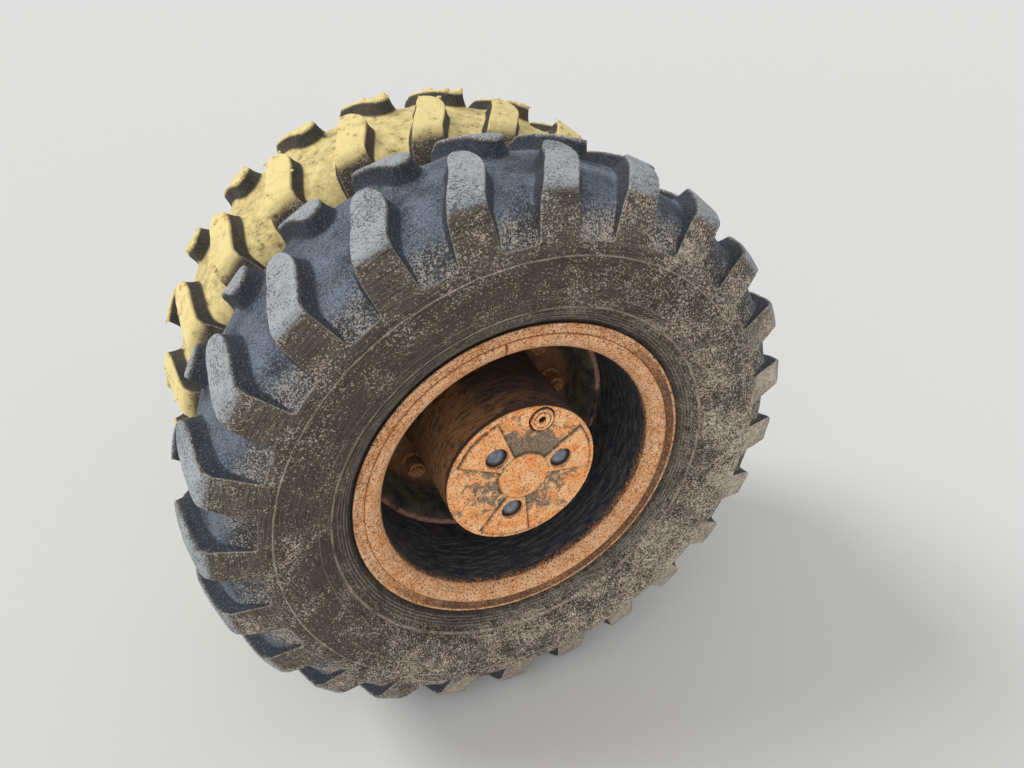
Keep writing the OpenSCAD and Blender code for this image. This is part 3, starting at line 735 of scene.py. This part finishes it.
def tread_section(settings):
    """One pitch of the tread's outer half: places and wear of every row and column."""
    along, top, floor, normal, pocket_end = tread_paths(settings.pocket_scoop / MM)
    outline = smoothed(LUG_OUTLINE)
    tip = int(outline[:, 0].argmin())
    upper, lower = outline[tip::-1], outline[tip:]
    pitch = TAU / settings.lug_count
    gap = np.linalg.norm(top - floor, axis=1)
    wall = 0.5 * gap + 2
    radius = top[:, 1]
    t_up = np.interp(along, upper[:, 0], upper[:, 1])
    t_low = np.interp(along, lower[:, 0], lower[:, 1])
    middle, half = (t_up + t_low) / 2, np.maximum((t_up - t_low) / 2, LEAST_HALF)
    a_low, a_up = np.arcsin((middle - half) / radius), np.arcsin((middle + half) / radius)
    turn = wall / radius
    columns = [a_low + (a_up - a_low) * x for x in TOP_COLUMNS]
    columns += [a_up + turn * x for x in WALL_COLUMNS]
    begin, finish = a_up + turn, a_low + pitch - turn
    columns += [begin + (finish - begin) * (k + 1) / GROOVE_STEPS for k in range(GROOVE_STEPS)]
    columns += [a_low + pitch - turn * x for x in WALL_COLUMNS[-2::-1]] + [a_low + pitch]
    angles = np.stack(columns, 1)
    even = math.asin(-12 / CROWN_R) + (np.arange(COLUMNS + 1) - 6) * pitch / COLUMNS
    share = np.clip(along / STRAIGHT_REACH, 0, 1)[:, None]
    share = share * share * (3 - 2 * share)
    angles = even * (1 - share) + angles * share

    u = np.broadcast_to(along[:, None], angles.shape)
    away = np.full(angles.shape, 1e3)
    for k in range(-2, 3):
        t = radius[:, None] * np.sin(np.clip(angles - k * pitch, -1.2, 1.2))
        away = np.minimum(away, outline_distance(u, t, outline))
        t = radius[:, None] * np.sin(np.clip(angles - (k + 0.5) * pitch, -1.2, 1.2))
        away = np.minimum(away, outline_distance(-u, t, outline))
    away = np.where(u > HALF_TREAD, smooth_min(away, pocket_end - u, 9.0), away)
    edge = settings.edge_round / MM * np.where(along > HALF_TREAD + 4, 0.4, 1.0)[:, None]
    x = np.clip(away / wall[:, None], 0, 1)
    height = (1 - x) ** 2.3
    inside = np.clip(away + edge, 0, edge)
    drop = (edge - np.sqrt(edge ** 2 - inside ** 2)) * height
    spot = floor[:, None] + height[..., None] * (top - floor)[:, None] - drop[..., None] * normal[:, None]
    tread = np.clip((HALF_TREAD + 24 - u) / 36, 0, 1)
    lug_top = np.clip((height - 0.86) / 0.12, 0, 1) * tread
    lug_top = np.where(away > -0.4, lug_top * 0.5, lug_top)
    worn = np.exp(-(away / 1.1) ** 2) * (u > HALF_TREAD - 4) * (u < pocket_end + 6)
    pocket = np.where(height < 0.98, (1 - height) ** 0.6, 0)
    steep = 4 * height * (1 - height) * np.clip(gap[:, None] / 14, 0, 1)
    return angles, spot, {"lug_top": lug_top, "pocket": pocket, "worn_edge": worn, "steep": steep}


UNDERSIDE = [(135, 424), (118, 446), (84, 474), (40, 486)]
PITCH_MERGE = 2e-5


def tread_mesh(settings, turn):
    """The whole tread: one pitch of both rows, copied round, closed by its underside."""
    angles, spot, wear = tread_section(settings)
    rows = len(angles)
    bm = bmesh.new()
    layers = {key: bm.verts.layers.float.new(key) for key in wear}
    bmesh.ops.create_grid(bm, x_segments=COLUMNS, y_segments=2 * (rows - 1), size=1)
    pitch = TAU / settings.lug_count
    half = COLUMNS // 2
    for vert in bm.verts:
        i = round((vert.co.x + 1) / 2 * COLUMNS)
        j = round((vert.co.y + 1) / 2 * 2 * (rows - 1)) - (rows - 1)
        if j >= 0:
            column, angle, side = i, angles[j, i], 1
        else:
            column = i - half if i >= half else i + half
            angle = angles[-j, column] + pitch * (0.5 if i >= half else -0.5)
            side = -1
        u, r = spot[abs(j), column] * MM
        angle += turn
        vert.co = (r * math.cos(angle), r * math.sin(angle), side * u)
        for key, layer in layers.items():
            vert[layer] = float(wear[key][abs(j), column])
    geom, more = bm.verts[:] + bm.edges[:] + bm.faces[:], settings.lug_count - 1
    spun(bm, geom, pitch * more, more, use_duplicate=True)
    bmesh.ops.remove_doubles(bm, verts=bm.verts, dist=PITCH_MERGE)
    rim_edges = [e for e in bm.edges if e.is_boundary]
    for u, r in UNDERSIDE:
        new = bmesh.ops.extrude_edge_only(bm, edges=rim_edges)["geom"]
        rim_edges = only(bmesh.types.BMEdge, new)
        for vert in only(bmesh.types.BMVert, new):
            flat = Vector((vert.co.x, vert.co.y)).normalized() * r * MM
            vert.co = (flat.x, flat.y, math.copysign(u * MM, vert.co.z))
    bmesh.ops.bridge_loops(bm, edges=rim_edges)
    bmesh.ops.recalc_face_normals(bm, faces=bm.faces)
    return bm


def roughen(bm, amount, seed, scale=38.0):
    """Moves points a little along their normals, so that worn rubber isn't machined."""
    shift = Vector((seed * 3.1, seed * 1.7, seed * 2.3))
    bm.normal_update()
    moves = []
    for vert in bm.verts:
        broad = noise.noise(vert.co * scale + shift)
        fine = noise.noise(vert.co * scale * 4.3 + shift)
        moves.append((vert, vert.normal * amount * (0.7 * broad + 0.3 * fine)))
    for vert, move in moves:
        vert.co += move


# The casing: moulded lines as [radius, height, half width] in millimetres
MOULD_LINES = [(411, 1.3, 0.9), (404, 0.5, 0.7), (381, 0.7, 0.8), (347, 0.8, 0.9), (342, 0.5, 0.7),
               (327, 2.0, 1.3), (316.5, 0.9, 0.9), (311.5, 0.9, 0.9), (306.5, 1.0, 0.9), (302, 0.9, 0.8)]
SIDE_STEPS = (-2.4, -1.0, 1.0, 2.4)
WALL_CENTRE = (385.0, 88.0)
WALL_BULGE = (77.5, 56.0)


def side_wall(r):
    """Half width of the casing at a radius, without its moulded lines."""
    if r > WALL_CENTRE[0]:
        return float(np.interp(r, [385, 408, 413.5, 416, 421], [144, 144, 143.5, 142.8, 140.5]))
    if r > 322.3:
        share = math.sqrt(max(0.0, 1 - ((WALL_CENTRE[0] - r) / WALL_BULGE[0]) ** 2))
        return WALL_CENTRE[1] + WALL_BULGE[1] * share
    return float(np.interp(r, [293.5, 296, 299, 304, 322.3], [100, 104, 108.3, 111.6, 120.9]))


def mould_bump(r):
    """Height of the moulded lines at a radius, in millimetres."""
    return sum(h * max(0.0, min(1.0, (2.4 - abs(r - r0) / w) / 1.4)) for r0, h, w in MOULD_LINES)


def line_wear(vert):
    """How far a point of a casing stands on a moulded line, which wears pale."""
    r = math.hypot(vert.co.x, vert.co.y) / MM
    return min(1.0, mould_bump(r) / 1.4) if 293 < r < 414 and abs(vert.co.z) > 0.1 else 0.0


def casing_profile():
    """Closed section of a casing as [radius, height]."""
    marks = set(np.arange(295, 420, 6.5).round(1)) | {293.5, 413.5, 416.0, 421.0}
    for r, _, width in MOULD_LINES:
        marks |= {round(r + step * width, 2) for step in SIDE_STEPS}
    outside = [(494, 0), (492, 40), (483, 80), (464, 108), (446, 124), (431, 134)]
    for r in sorted(marks, reverse=True):
        outside.append((r, side_wall(r) + mould_bump(r)))
    inside = [(286, 98), (278, 94.9), (266, 94.9), (254.3, 85.5), (254.3, 63), (266, 57), (288, 73),
              (330, 107), (360, 123), (395, 130), (425, 123), (450, 101), (468, 69), (478, 30), (480, 0)]
    half = outside + inside
    return half + [(r, -u) for r, u in half[-2:0:-1]]


def clods_mesh(settings, turn):
    """Clods of dried mud, sunk in the lugs' tops."""
    rng = np.random.default_rng(17)
    angles, spot, wear = tread_section(settings)
    tops = np.argwhere((wear["lug_top"] > 0.9) & (spot[..., 0] > 14))
    pitch = TAU / settings.lug_count
    bm = bmesh.new()
    layer = bm.verts.layers.float.new("lug_top")
    for _ in range(settings.clod_count):
        j, i = tops[rng.integers(len(tops))]
        u, r = spot[j, i] * MM
        row = rng.integers(2)
        angle = angles[j, i] + turn + pitch * rng.integers(settings.lug_count)
        if row:
            u, angle = -u, angle + pitch / 2
        angle += rng.normal(0, 0.006)
        size = 1.5 * MM + 5 * MM * rng.random() ** 3
        made = bmesh.ops.create_icosphere(bm, subdivisions=1, radius=size)["verts"]
        squash = Matrix.Diagonal((0.45 + 0.3 * rng.random(), 1.0, 0.7 + 0.5 * rng.random(), 1))
        place = (Matrix.Rotation(angle, 4, "Z") @ Matrix.Translation((r + 0.1 * size, 0, u)) @ squash
                 @ Matrix.Rotation(rng.random() * TAU, 4, "X"))
        bmesh.ops.transform(bm, matrix=place, verts=made)
        for vert in made:
            vert.co += Vector(rng.normal(0, 0.12 * size, 3))
            vert[layer] = 1.0
    return bm


class TW_OT_tyres(bpy.types.Operator):
    """Model both tyres: the tread with its lugs and pockets, the casing, and dried mud"""
    bl_idname = "twin_wheel.tyres"
    bl_label = "Tyres"

    def execute(self, context):
        tyre, slot = context.scene.tw_tyre, "tyre_rubber"
        for name, turn, place, rubber, seed in (("outer", tyre.outer_turn, OUTER_TYRE, "OuterRubber", 1),
                                                ("inner", tyre.inner_turn, INNER_TYRE, "InnerRubber", 2)):
            tread = tread_mesh(tyre, turn)
            roughen(tread, tyre.unevenness, seed)
            finish_piece(tread, name + "_tread", rubber, place=place, sharp=46, flip_check=False)
            casing = turned(casing_profile(), context.scene.tw_wheel.ring_steps)
            mark(casing, "worn_edge", line_wear)
            finish_piece(casing, name + "_casing", rubber, name + "_tyre", place=place, sharp=50)
        mud = clods_mesh(tyre, tyre.inner_turn)
        finish_piece(mud, "inner_mud_clods", "InnerRubber", place=INNER_TYRE, sharp=70)
        return {"FINISHED"}


# Rims

RIM_SECTION = [
    (140.5, 0), (200, 0), (212, 5), (227, 56), (243, 65.8), (274, 60.8), (287, 57.3), (292, 57.3),
    (292, 61.3), (286, 64.8), (278, 69.8), (254, 69.8), (254, 243.9), (249.7, 243.9), (249.7, 251.5),
    (243, 251.5), (243, 85.8), (232, 85.8), (219, 64), (204, 21), (195, 14), (140.5, 14)]
SIDE_RING_SECTION = [(266, 260.6), (278, 260.6), (284, 264.3), (291, 268.8), (292, 270.8), (291, 272.8),
                     (287, 272.8), (282, 268.8), (274, 267.8), (273.5, 266.4)]
LOCK_RING_SECTION = [
    (250, 244.3), (250, 251.9), (243.7, 251.9), (246.5, 257), (251, 262), (257, 266.4), (263.5, 269.4),
    (269.5, 270.8), (272.5, 269.8), (272.5, 266.2), (253.5, 251), (253.5, 244.3)]
SIDE_RING_ROUNDS = [(1.2, 3, [2, 3, 4, 5, 6, 7]), (0.5, 2, [0, 8, 9])]
SPLIT_ANGLE, SPLIT_GAP = 100, 4 / 250
WELD_PLACE, WELD_RIPPLES = (0.2385, 0, 0.0868), 132


def lock_ring_mesh(steps):
    """The split ring: turned not quite full, with both ends closed."""
    bm = bmesh.new()
    profile_edges(bm, LOCK_RING_SECTION, [(1.2, 3, [2]), (1.0, 2, [7, 8]), (0.8, 2, [9, 10])])
    turn = Matrix.Rotation(math.radians(SPLIT_ANGLE) + SPLIT_GAP / 2, 4, "Z")
    bmesh.ops.transform(bm, matrix=turn, verts=bm.verts)
    start = bm.edges[:]
    end = spun(bm, bm.verts[:] + start, TAU - SPLIT_GAP, steps)["geom_last"]
    bmesh.ops.contextual_create(bm, geom=start)
    bmesh.ops.contextual_create(bm, geom=only(bmesh.types.BMEdge, end))
    return bm


def weld_mesh(settings, steps):
    """A hand-laid bead of weld between disc and rim, with its ripples."""
    bm = bmesh.new()
    bmesh.ops.create_circle(bm, segments=10, radius=settings.weld_size)
    upright = Matrix.Translation(WELD_PLACE) @ Matrix.Rotation(math.pi / 2, 4, "X")
    bmesh.ops.transform(bm, matrix=upright, verts=bm.verts)
    spun(bm, bm.verts[:] + bm.edges[:], TAU, steps * 2, use_merge=True)
    for vert in bm.verts:
        angle = math.atan2(vert.co.y, vert.co.x)
        ripple = 0.6 * math.sin(angle * WELD_RIPPLES) + 0.9 * noise.noise(vert.co * 40)
        vert.co.z += ripple * MM
    return bm


class TW_OT_rims(bpy.types.Operator):
    """Turn both rims with their discs, side rings, split lock rings and welds"""
    bl_idname = "twin_wheel.rims"
    bl_label = "Rims"

    def execute(self, context):
        wheel = context.scene.tw_wheel
        steps = wheel.ring_steps
        rounds = [(6, 4, [2, 3, 18, 19]), (wheel.edge / MM, 2, [0, 6, 7, 9, 10, 13, 14, 15, 17, 20, 21]),
                  (3, 3, [4, 8, 16])]
        for side, place in (("outer_", OUTER_WHEEL), ("inner_", INNER_WHEEL)):
            rim = turned(RIM_SECTION, steps, rounds)
            finish_piece(rim, side + "rim_turned", "RimPaint", side + "rim", place=place)
            finish_piece(weld_mesh(wheel, steps), side + "rim_weld", "WeldRust", place=place)
            side_ring = turned(SIDE_RING_SECTION, steps, SIDE_RING_ROUNDS)
            for ring, node, form, finish in ((side_ring, side + "side_ring", "_turned", "SideRingRust"),
                                             (lock_ring_mesh(steps), side + "lock_ring", "_split",
                                              "LockRingRust")):
                finish_piece(ring, node + form, finish, node, place=place)
        return {"FINISHED"}


# Hub

HUB_SECTION = [(65.1, -54), (142, -54), (150, -38), (192, -38), (192, -14), (140, -14), (140, 14),
               (138, 22), (136, 243), (0, 243), (0, 112), (65.1, 112)]
NUT_ACROSS, NUT_COLLAR, NUT_HEIGHT = 32.0, 6.0, 33.0
STUD_CIRCLE, STUD_START, DISC_T, STUD_END = 0.1675, 6, 14.0, 55.0


def nut_mesh():
    """A hexagon nut with a chamfered crown on its round collar."""
    bm = bmesh.new()
    corner_r = NUT_ACROSS / 2 / math.cos(math.pi / 6) * MM
    bmesh.ops.create_circle(bm, cap_ends=True, segments=6, radius=corner_r)
    lifted = bmesh.ops.extrude_face_region(bm, geom=bm.faces[:])["geom"]
    bmesh.ops.translate(bm, vec=(0, 0, NUT_HEIGHT * MM), verts=only(bmesh.types.BMVert, lifted))
    bm.normal_update()
    crown = [f for f in bm.faces if f.normal.z > 0.9 or f.calc_center_median().z > 0.03]
    bmesh.ops.inset_region(bm, faces=crown, thickness=2.2 * MM, depth=1.6 * MM)
    upright = [e for e in bm.edges if abs((e.verts[0].co - e.verts[1].co).z) > 0.02]
    bmesh.ops.bevel(bm, geom=upright, offset=1.1 * MM, segments=2, profile=0.5, affect="EDGES",
                    material=-1)
    collar = stored(turned([(0, 0), (23, 0), (23, 4), (19.5, NUT_COLLAR), (0, NUT_COLLAR)], 28,
                           [(0.9, 2, [2, 3])], axis_end=True))
    bm.from_mesh(collar)
    bpy.data.meshes.remove(collar)
    bmesh.ops.translate(bm, vec=(0, 0, DISC_T * MM), verts=bm.verts)
    return bm


def stud_mesh():
    """A stud whose end shows its thread, with the head behind the hub flange."""
    points = [(0, -47), (16, -47), (16, -38), (10.7, -38), (10.7, 46.2)]
    for k in range(4):
        points += [(10.9, 47 + k * 2), (9.8, 48 + k * 2)]
    return turned(points + [(9.2, STUD_END), (0, STUD_END)], 24, [(1.5, 2, [1])], axis_end=True)


def dressed(node, material, body, edge):
    """A merged copy of a CAD node with its edges rounded and chipped, standing for the node."""
    bm = bmesh.new()
    bm.from_mesh(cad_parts[node].data)
    bmesh.ops.remove_doubles(bm, verts=bm.verts, dist=MERGE)
    bmesh.ops.dissolve_limit(bm, angle_limit=math.radians(1), verts=bm.verts, edges=bm.edges)
    sharp = [e for e in bm.edges if e.is_manifold and e.calc_face_angle(0) > math.radians(30)]
    rounded = bmesh.ops.bevel(bm, geom=sharp, offset=edge, segments=2, profile=0.5, affect="EDGES",
                              material=-1, clamp_overlap=True, loop_slide=True)
    chipped = bm.loops.layers.float.new("chipped")
    for face in rounded["faces"]:
        for loop in face.loops:
            loop[chipped] = 1.0
    finish_piece(bm, node + "_dressed", material, node, body, place=Matrix(), flip_check=False)


COVER_R, COVER_BASE = 136.0, 243.0
PLATE_H, LOBE_H, PIN_FLOOR, PLUG_FLOOR = 11.0, 14.0, 0.3, 0.8
BOSS_R, LOBE_END_R, LOBE_HALF = 46.0, 126.0, math.radians(22)
PIN_PLACES = [(71.0, math.radians(a)) for a in (15, 135, 255)]
PLUG_PLACE = (111.0, math.radians(75))
PIN_RECESS_R, PLUG_RECESS_R = 19.2, 22.8
COVER_GRID = 190


def step_up(x, width):
    """Smooth rise from 0 to 1 over a width either side of 0."""
    t = np.clip(0.5 + x / (2 * width), 0, 1)
    return t * t * (3 - 2 * t)


def cover_form(x, y):
    """Height of the cover over its plane, the painted shade along its grooves and round its recesses, and
    how bare it is, from x and y.
    """
    r, angle = np.hypot(x, y), np.arctan2(y, x)
    boss = BOSS_R - r
    lobe = np.full(x.shape, -99.0)
    for _, place in PIN_PLACES:
        turn = np.abs((angle - place + math.pi) % TAU - math.pi)
        side = r * np.sin(np.clip(LOBE_HALF - turn, -1.2, 1.2))
        lobe = np.maximum(lobe, np.minimum(side, LOBE_END_R - r))
    raised = np.maximum(boss, lobe)
    height = PLATE_H + (LOBE_H - PLATE_H) * step_up(raised, 0.9)
    # Painted shade along the edges of the lobes and the boss, and round the recesses below.
    groove = np.exp(-((raised + 0.9) / 2.2) ** 2)
    lines = np.exp(-(boss / 1.4) ** 2) * (lobe > 0) * 0.6
    groove = np.maximum(groove, lines)
    height -= 0.9 * np.exp(-((raised + 1.2) / 1.3) ** 2) + 0.6 * lines
    recesses = [(place, PIN_RECESS_R, PIN_FLOOR) for place in PIN_PLACES]
    for (at, place), hole, depth in (*recesses, (PLUG_PLACE, PLUG_RECESS_R, PLUG_FLOOR)):
        away = np.hypot(x - at * math.cos(place), y - at * math.sin(place)) - hole
        height = np.where(away < 0.8, depth + (height - depth) * step_up(away, 0.8), height)
        groove = np.maximum(groove, np.exp(-((away + 1.2) / 1.7) ** 2))
    lip = np.clip(r - (COVER_R - 3), 0, 3)
    height -= 3 - np.sqrt(9 - lip ** 2)
    between = np.where(raised < 0, 1.0, 0.0) * np.clip(1.3 - (r - BOSS_R) / 50, 0, 1)
    wide = np.clip(np.cos(angle - PLUG_PLACE[1]) * 1.6, 0, 1)
    bare = between * (0.12 + 0.14 * wide) + 0.05 * (raised < 0) + 0.43
    return height, groove, bare


def cover_mesh():
    """The cast cover: a disc of small faces pressed to its boss, lobes, recesses and pits."""
    bm = bmesh.new()
    grooves, bares = (bm.verts.layers.float.new(key) for key in ("groove", "bare"))
    bmesh.ops.create_grid(bm, x_segments=COVER_GRID, y_segments=COVER_GRID, size=1)
    flat = np.array([v.co[:2] for v in bm.verts])
    x = COVER_R * flat[:, 0] * np.sqrt(1 - flat[:, 1] ** 2 / 2)
    y = COVER_R * flat[:, 1] * np.sqrt(1 - flat[:, 0] ** 2 / 2)
    height, groove, bare = cover_form(x, y)
    for vert, vx, vy, h, g, b in zip(bm.verts, x, y, height, groove, bare):
        spot = Vector((vx, vy, 0))
        rough = 0.45 * noise.noise(spot * 0.06) + 0.28 * noise.noise(spot * 0.33)
        pit = max(0.0, noise.noise(spot * 0.19 + Vector((7, 3, 1))) - 0.30) * 2.2
        calm = 0.0 if math.hypot(vx, vy) > COVER_R - 0.5 or h < LOBE_H - 6 else 1.0
        vert.co = Vector((vx, vy, COVER_BASE + h + calm * (rough - pit))) * MM
        vert[grooves], vert[bares] = float(g), float(b)
    edges = [e for e in bm.edges if e.is_boundary]
    lowered = bmesh.ops.extrude_edge_only(bm, edges=edges)["geom"]
    for vert in only(bmesh.types.BMVert, lowered):
        vert.co.z = COVER_BASE * MM
    bmesh.ops.contextual_create(bm, geom=only(bmesh.types.BMEdge, lowered))
    return bm


PLUG_SECTION = [(0, 245.5), (7, 245.5), (7, 255.8), (8.4, 257), (13, 257), (14, 255.4), (15.2, 255.4),
                (16.2, 256.8), (18.6, 256.8), (20.8, 255), (20.8, 244), (0, 244)]
PIN_SECTION = [(0, 243.7), (5, 243.9), (9, 244.6), (12.5, 246), (15, 248), (16.6, 250), (18.6, 249.4),
               (18.6, 240), (0, 240)]
PLUG_SHADE_LEVEL, PIN_SHADE_RADII = 0.2557, [12, 16]


class TW_OT_hub(bpy.types.Operator):
    """Turn the planet housing and dress its cover, pins and oil plug"""
    bl_idname = "twin_wheel.hub"
    bl_label = "Hub"

    def execute(self, context):
        edge = context.scene.tw_wheel.cast_edge / MM
        rounds = [(edge, 2, [2, 3, 4, 5]), (3, 3, [1, 6, 7]), (1.2, 2, [8])]
        barrel = turned(HUB_SECTION, 160, rounds, axis_end=True)
        finish_piece(barrel, "hub_barrel", "HubCasting", "hub")
        finish_piece(cover_mesh(), "hub_cover_cast", "CoverRust", "hub_cover", sharp=60)
        plug = turned(PLUG_SECTION, 48, [(0.5, 2, [3, 4, 7, 8])], axis_end=True)
        # The plug's faces below its rim level, in its socket and down its sides, take the painted shade.
        mark(plug, "groove", lambda vert: float(vert.co.z < PLUG_SHADE_LEVEL))
        at, angle = PLUG_PLACE
        spot = OUTER_WHEEL @ (Matrix.Rotation(angle, 4, "Z") @ Matrix.Translation((at * MM, 0, 0)))
        finish_piece(plug, "cover_plug_head", "CoverRust", "cover_plug", place=spot)
        pin = turned(PIN_SECTION, 40, [(0.6, 2, [5])], axis_end=True)
        # The rim mark carries the painted shade round the pin's end.
        mark(pin, "rim", lambda vert: float(np.interp(vert.co.xy.length / MM, PIN_SHADE_RADII, [0, 1])))
        at, angle = PIN_PLACES[0]
        pins = around(pin, len(PIN_PLACES), at * MM, math.degrees(angle))
        finish_piece(pins, "planet_pin_ends", "PinSteel", "planet_pins")
        return {"FINISHED"}


class TW_OT_bolting(bpy.types.Operator):
    """Set the ten collar nuts on their threaded studs"""
    bl_idname = "twin_wheel.bolting"
    bl_label = "Wheel nuts and studs"

    def execute(self, context):
        for mesh, name, slot, node in ((nut_mesh(), "collar_nuts", "nut_rust", "wheel_nuts"),
                                       (stud_mesh(), "threaded_studs", "bolt_steel", "wheel_studs")):
            ring = around(mesh, context.scene.tw_wheel.stud_count, STUD_CIRCLE, STUD_START)
            finish_piece(ring, name, "NutRust", node)
        return {"FINISHED"}


FITTING_EDGES = {"brake_bolts": 1 * MM, "brake_port": 0.8 * MM, "bleed_screw": 0.6 * MM,
                 "level_plug": 0.8 * MM, "breather": 0.8 * MM}
VALVE_EDGES = {"outer_valve": 0.6 * MM, "inner_valve": 0.6 * MM}


class TW_OT_axle(bpy.types.Operator):
    """Dress the axle arm, brake housing, their fittings, the half shaft and the valves"""
    bl_idname = "twin_wheel.axle"
    bl_label = "Axle arm"

    def execute(self, context):
        cast = context.scene.tw_wheel.cast_edge
        for body, material, slot, edges in (
                ("axle_end", "ArmPaint", "axle_paint", {"axle_arm": cast, "brake_housing": cast}),
                ("axle_end", "BoltSteel", "bolt_steel", FITTING_EDGES),
                ("axle_end", "SealRubber", "seal_rubber", {"arm_shaft_seal": 1 * MM}),
                ("drive_shaft", "ShaftSteel", "shaft_steel", {"half_shaft": 0.5 * MM}),
                ("wheel", "ValveBrass", "valve_brass", VALVE_EDGES)):
            for node, edge in edges.items():
                dressed(node, material, body, edge)
        return {"FINISHED"}


# The camera, and the lamps with their place, aim, spread in degrees and power
CAMERA_PLACE = (-0.41385, -1.76221, 0.76226)
CAMERA_ROWS = ((0.912288, -0.407939, 0.036291), (0.192012, 0.504301, 0.841910),
               (-0.361750, -0.761096, 0.538396))
FOCAL_PIXELS, FRAME_PIXELS, SENSOR = 700, 1024, 36
LAMPS = {"key_light": ((-2.9, 0.9, 3.4), (0, -0.8, 0), 22, 1.35),
         "fill_light": ((-2.0, -4.4, 2.8), (0, -0.8, 0), 70, 0.75)}
AIR_LEVEL, SEEN_AIR_LEVEL = 0.52, 0.9
FLOOR_REACH = 60


class TW_OT_stage(bpy.types.Operator):
    """Set the pale floor, the soft lights and the camera"""
    bl_idname = "twin_wheel.stage"
    bl_label = "Stage"

    def execute(self, context):
        scene = context.scene
        link = scene.collection.objects.link
        bm = bmesh.new()
        bmesh.ops.create_grid(bm, x_segments=1, y_segments=1, size=FLOOR_REACH)
        bmesh.ops.translate(bm, vec=(0, -0.5, FLOOR_Z), verts=bm.verts)
        mesh = stored(bm, "studio_floor")
        tree, _ = start_material("StudioFloor")
        inputs = tree.nodes["Principled BSDF"].inputs
        inputs["Base Color"].default_value = (*scene.tw_finish.floor, 1)
        inputs["Roughness"].default_value = 0.95
        mesh.materials.append(material_named("StudioFloor"))
        floor = bpy.data.objects.new("studio_floor", mesh)
        link(floor)

        world = scene.world = bpy.data.worlds.new("studio_air")
        world.use_nodes = True
        tree = world.node_tree
        tree.nodes.clear()
        rays = tree.nodes.new("ShaderNodeLightPath").outputs
        seen = math_of("MAXIMUM", rays["Is Camera Ray"], rays["Is Glossy Ray"])
        seen = math_of("MAXIMUM", seen, rays["Is Transmission Ray"])
        strength = ramp(seen, 0.0, 1.0, AIR_LEVEL, SEEN_AIR_LEVEL)
        air = put(tree, "ShaderNodeBackground", {"Color": (0.97, 0.98, 1.0, 1), "Strength": strength})
        put(tree, "ShaderNodeOutputWorld", {"Surface": air.outputs[0]})

        for name, (spot, aim, spread, power) in LAMPS.items():
            light = bpy.data.lights.new(name, "SUN")
            light.energy, light.angle = power, math.radians(spread)
            lamp = bpy.data.objects.new(name, light)
            turn = (Vector(aim) - Vector(spot)).to_track_quat("-Z", "Y").to_matrix().to_4x4()
            lamp.matrix_world = Matrix.Translation(spot) @ turn
            link(lamp)

        camera = bpy.data.cameras.new("photo_camera")
        camera.sensor_width, camera.lens = SENSOR, FOCAL_PIXELS * SENSOR / FRAME_PIXELS
        eye = bpy.data.objects.new("photo_camera", camera)
        eye.matrix_world = Matrix.Translation(CAMERA_PLACE) @ Matrix(CAMERA_ROWS).transposed().to_4x4()
        link(eye)
        scene.camera = eye
        scene.view_settings.view_transform = "Standard"
        return {"FINISHED"}


class TW_PT_panel(bpy.types.Panel):
    """Lists the pieces of the twin wheel in the order in which they are built"""
    bl_label = "Twin Wheel"
    bl_idname = "TW_PT_panel"
    bl_space_type = "VIEW_3D"
    bl_region_type = "UI"
    bl_category = "Twin Wheel"

    def draw(self, context):
        for step in STEPS:
            self.layout.operator(step.bl_idname)
        for group in (context.scene.tw_tyre, context.scene.tw_wheel, context.scene.tw_finish):
            box = self.layout.box()
            for key in type(group).__annotations__:
                box.prop(group, key)


STEPS = (TW_OT_stage, TW_OT_finishes, TW_OT_tyres, TW_OT_rims, TW_OT_hub, TW_OT_bolting, TW_OT_axle)
CLASSES = (TyreSettings, WheelSettings, FinishSettings, *STEPS, TW_PT_panel)


def register():
    for cls in CLASSES:
        bpy.utils.register_class(cls)
    bpy.types.Scene.tw_tyre = PointerProperty(type=TyreSettings)
    bpy.types.Scene.tw_wheel = PointerProperty(type=WheelSettings)
    bpy.types.Scene.tw_finish = PointerProperty(type=FinishSettings)


def unregister():
    del bpy.types.Scene.tw_finish, bpy.types.Scene.tw_wheel, bpy.types.Scene.tw_tyre
    for cls in reversed(CLASSES):
        bpy.utils.unregister_class(cls)


def corners(bounds):
    return [[float(x) for x in corner] for corner in bounds]


def main():
    register()
    bpy.ops.twin_wheel.stage()
    bpy.ops.twin_wheel.finishes()
    bpy.ops.twin_wheel.tyres()
    bpy.ops.twin_wheel.rims()
    bpy.ops.twin_wheel.hub()
    bpy.ops.twin_wheel.bolting()
    bpy.ops.twin_wheel.axle()


if __name__ == "__main__":
    main()
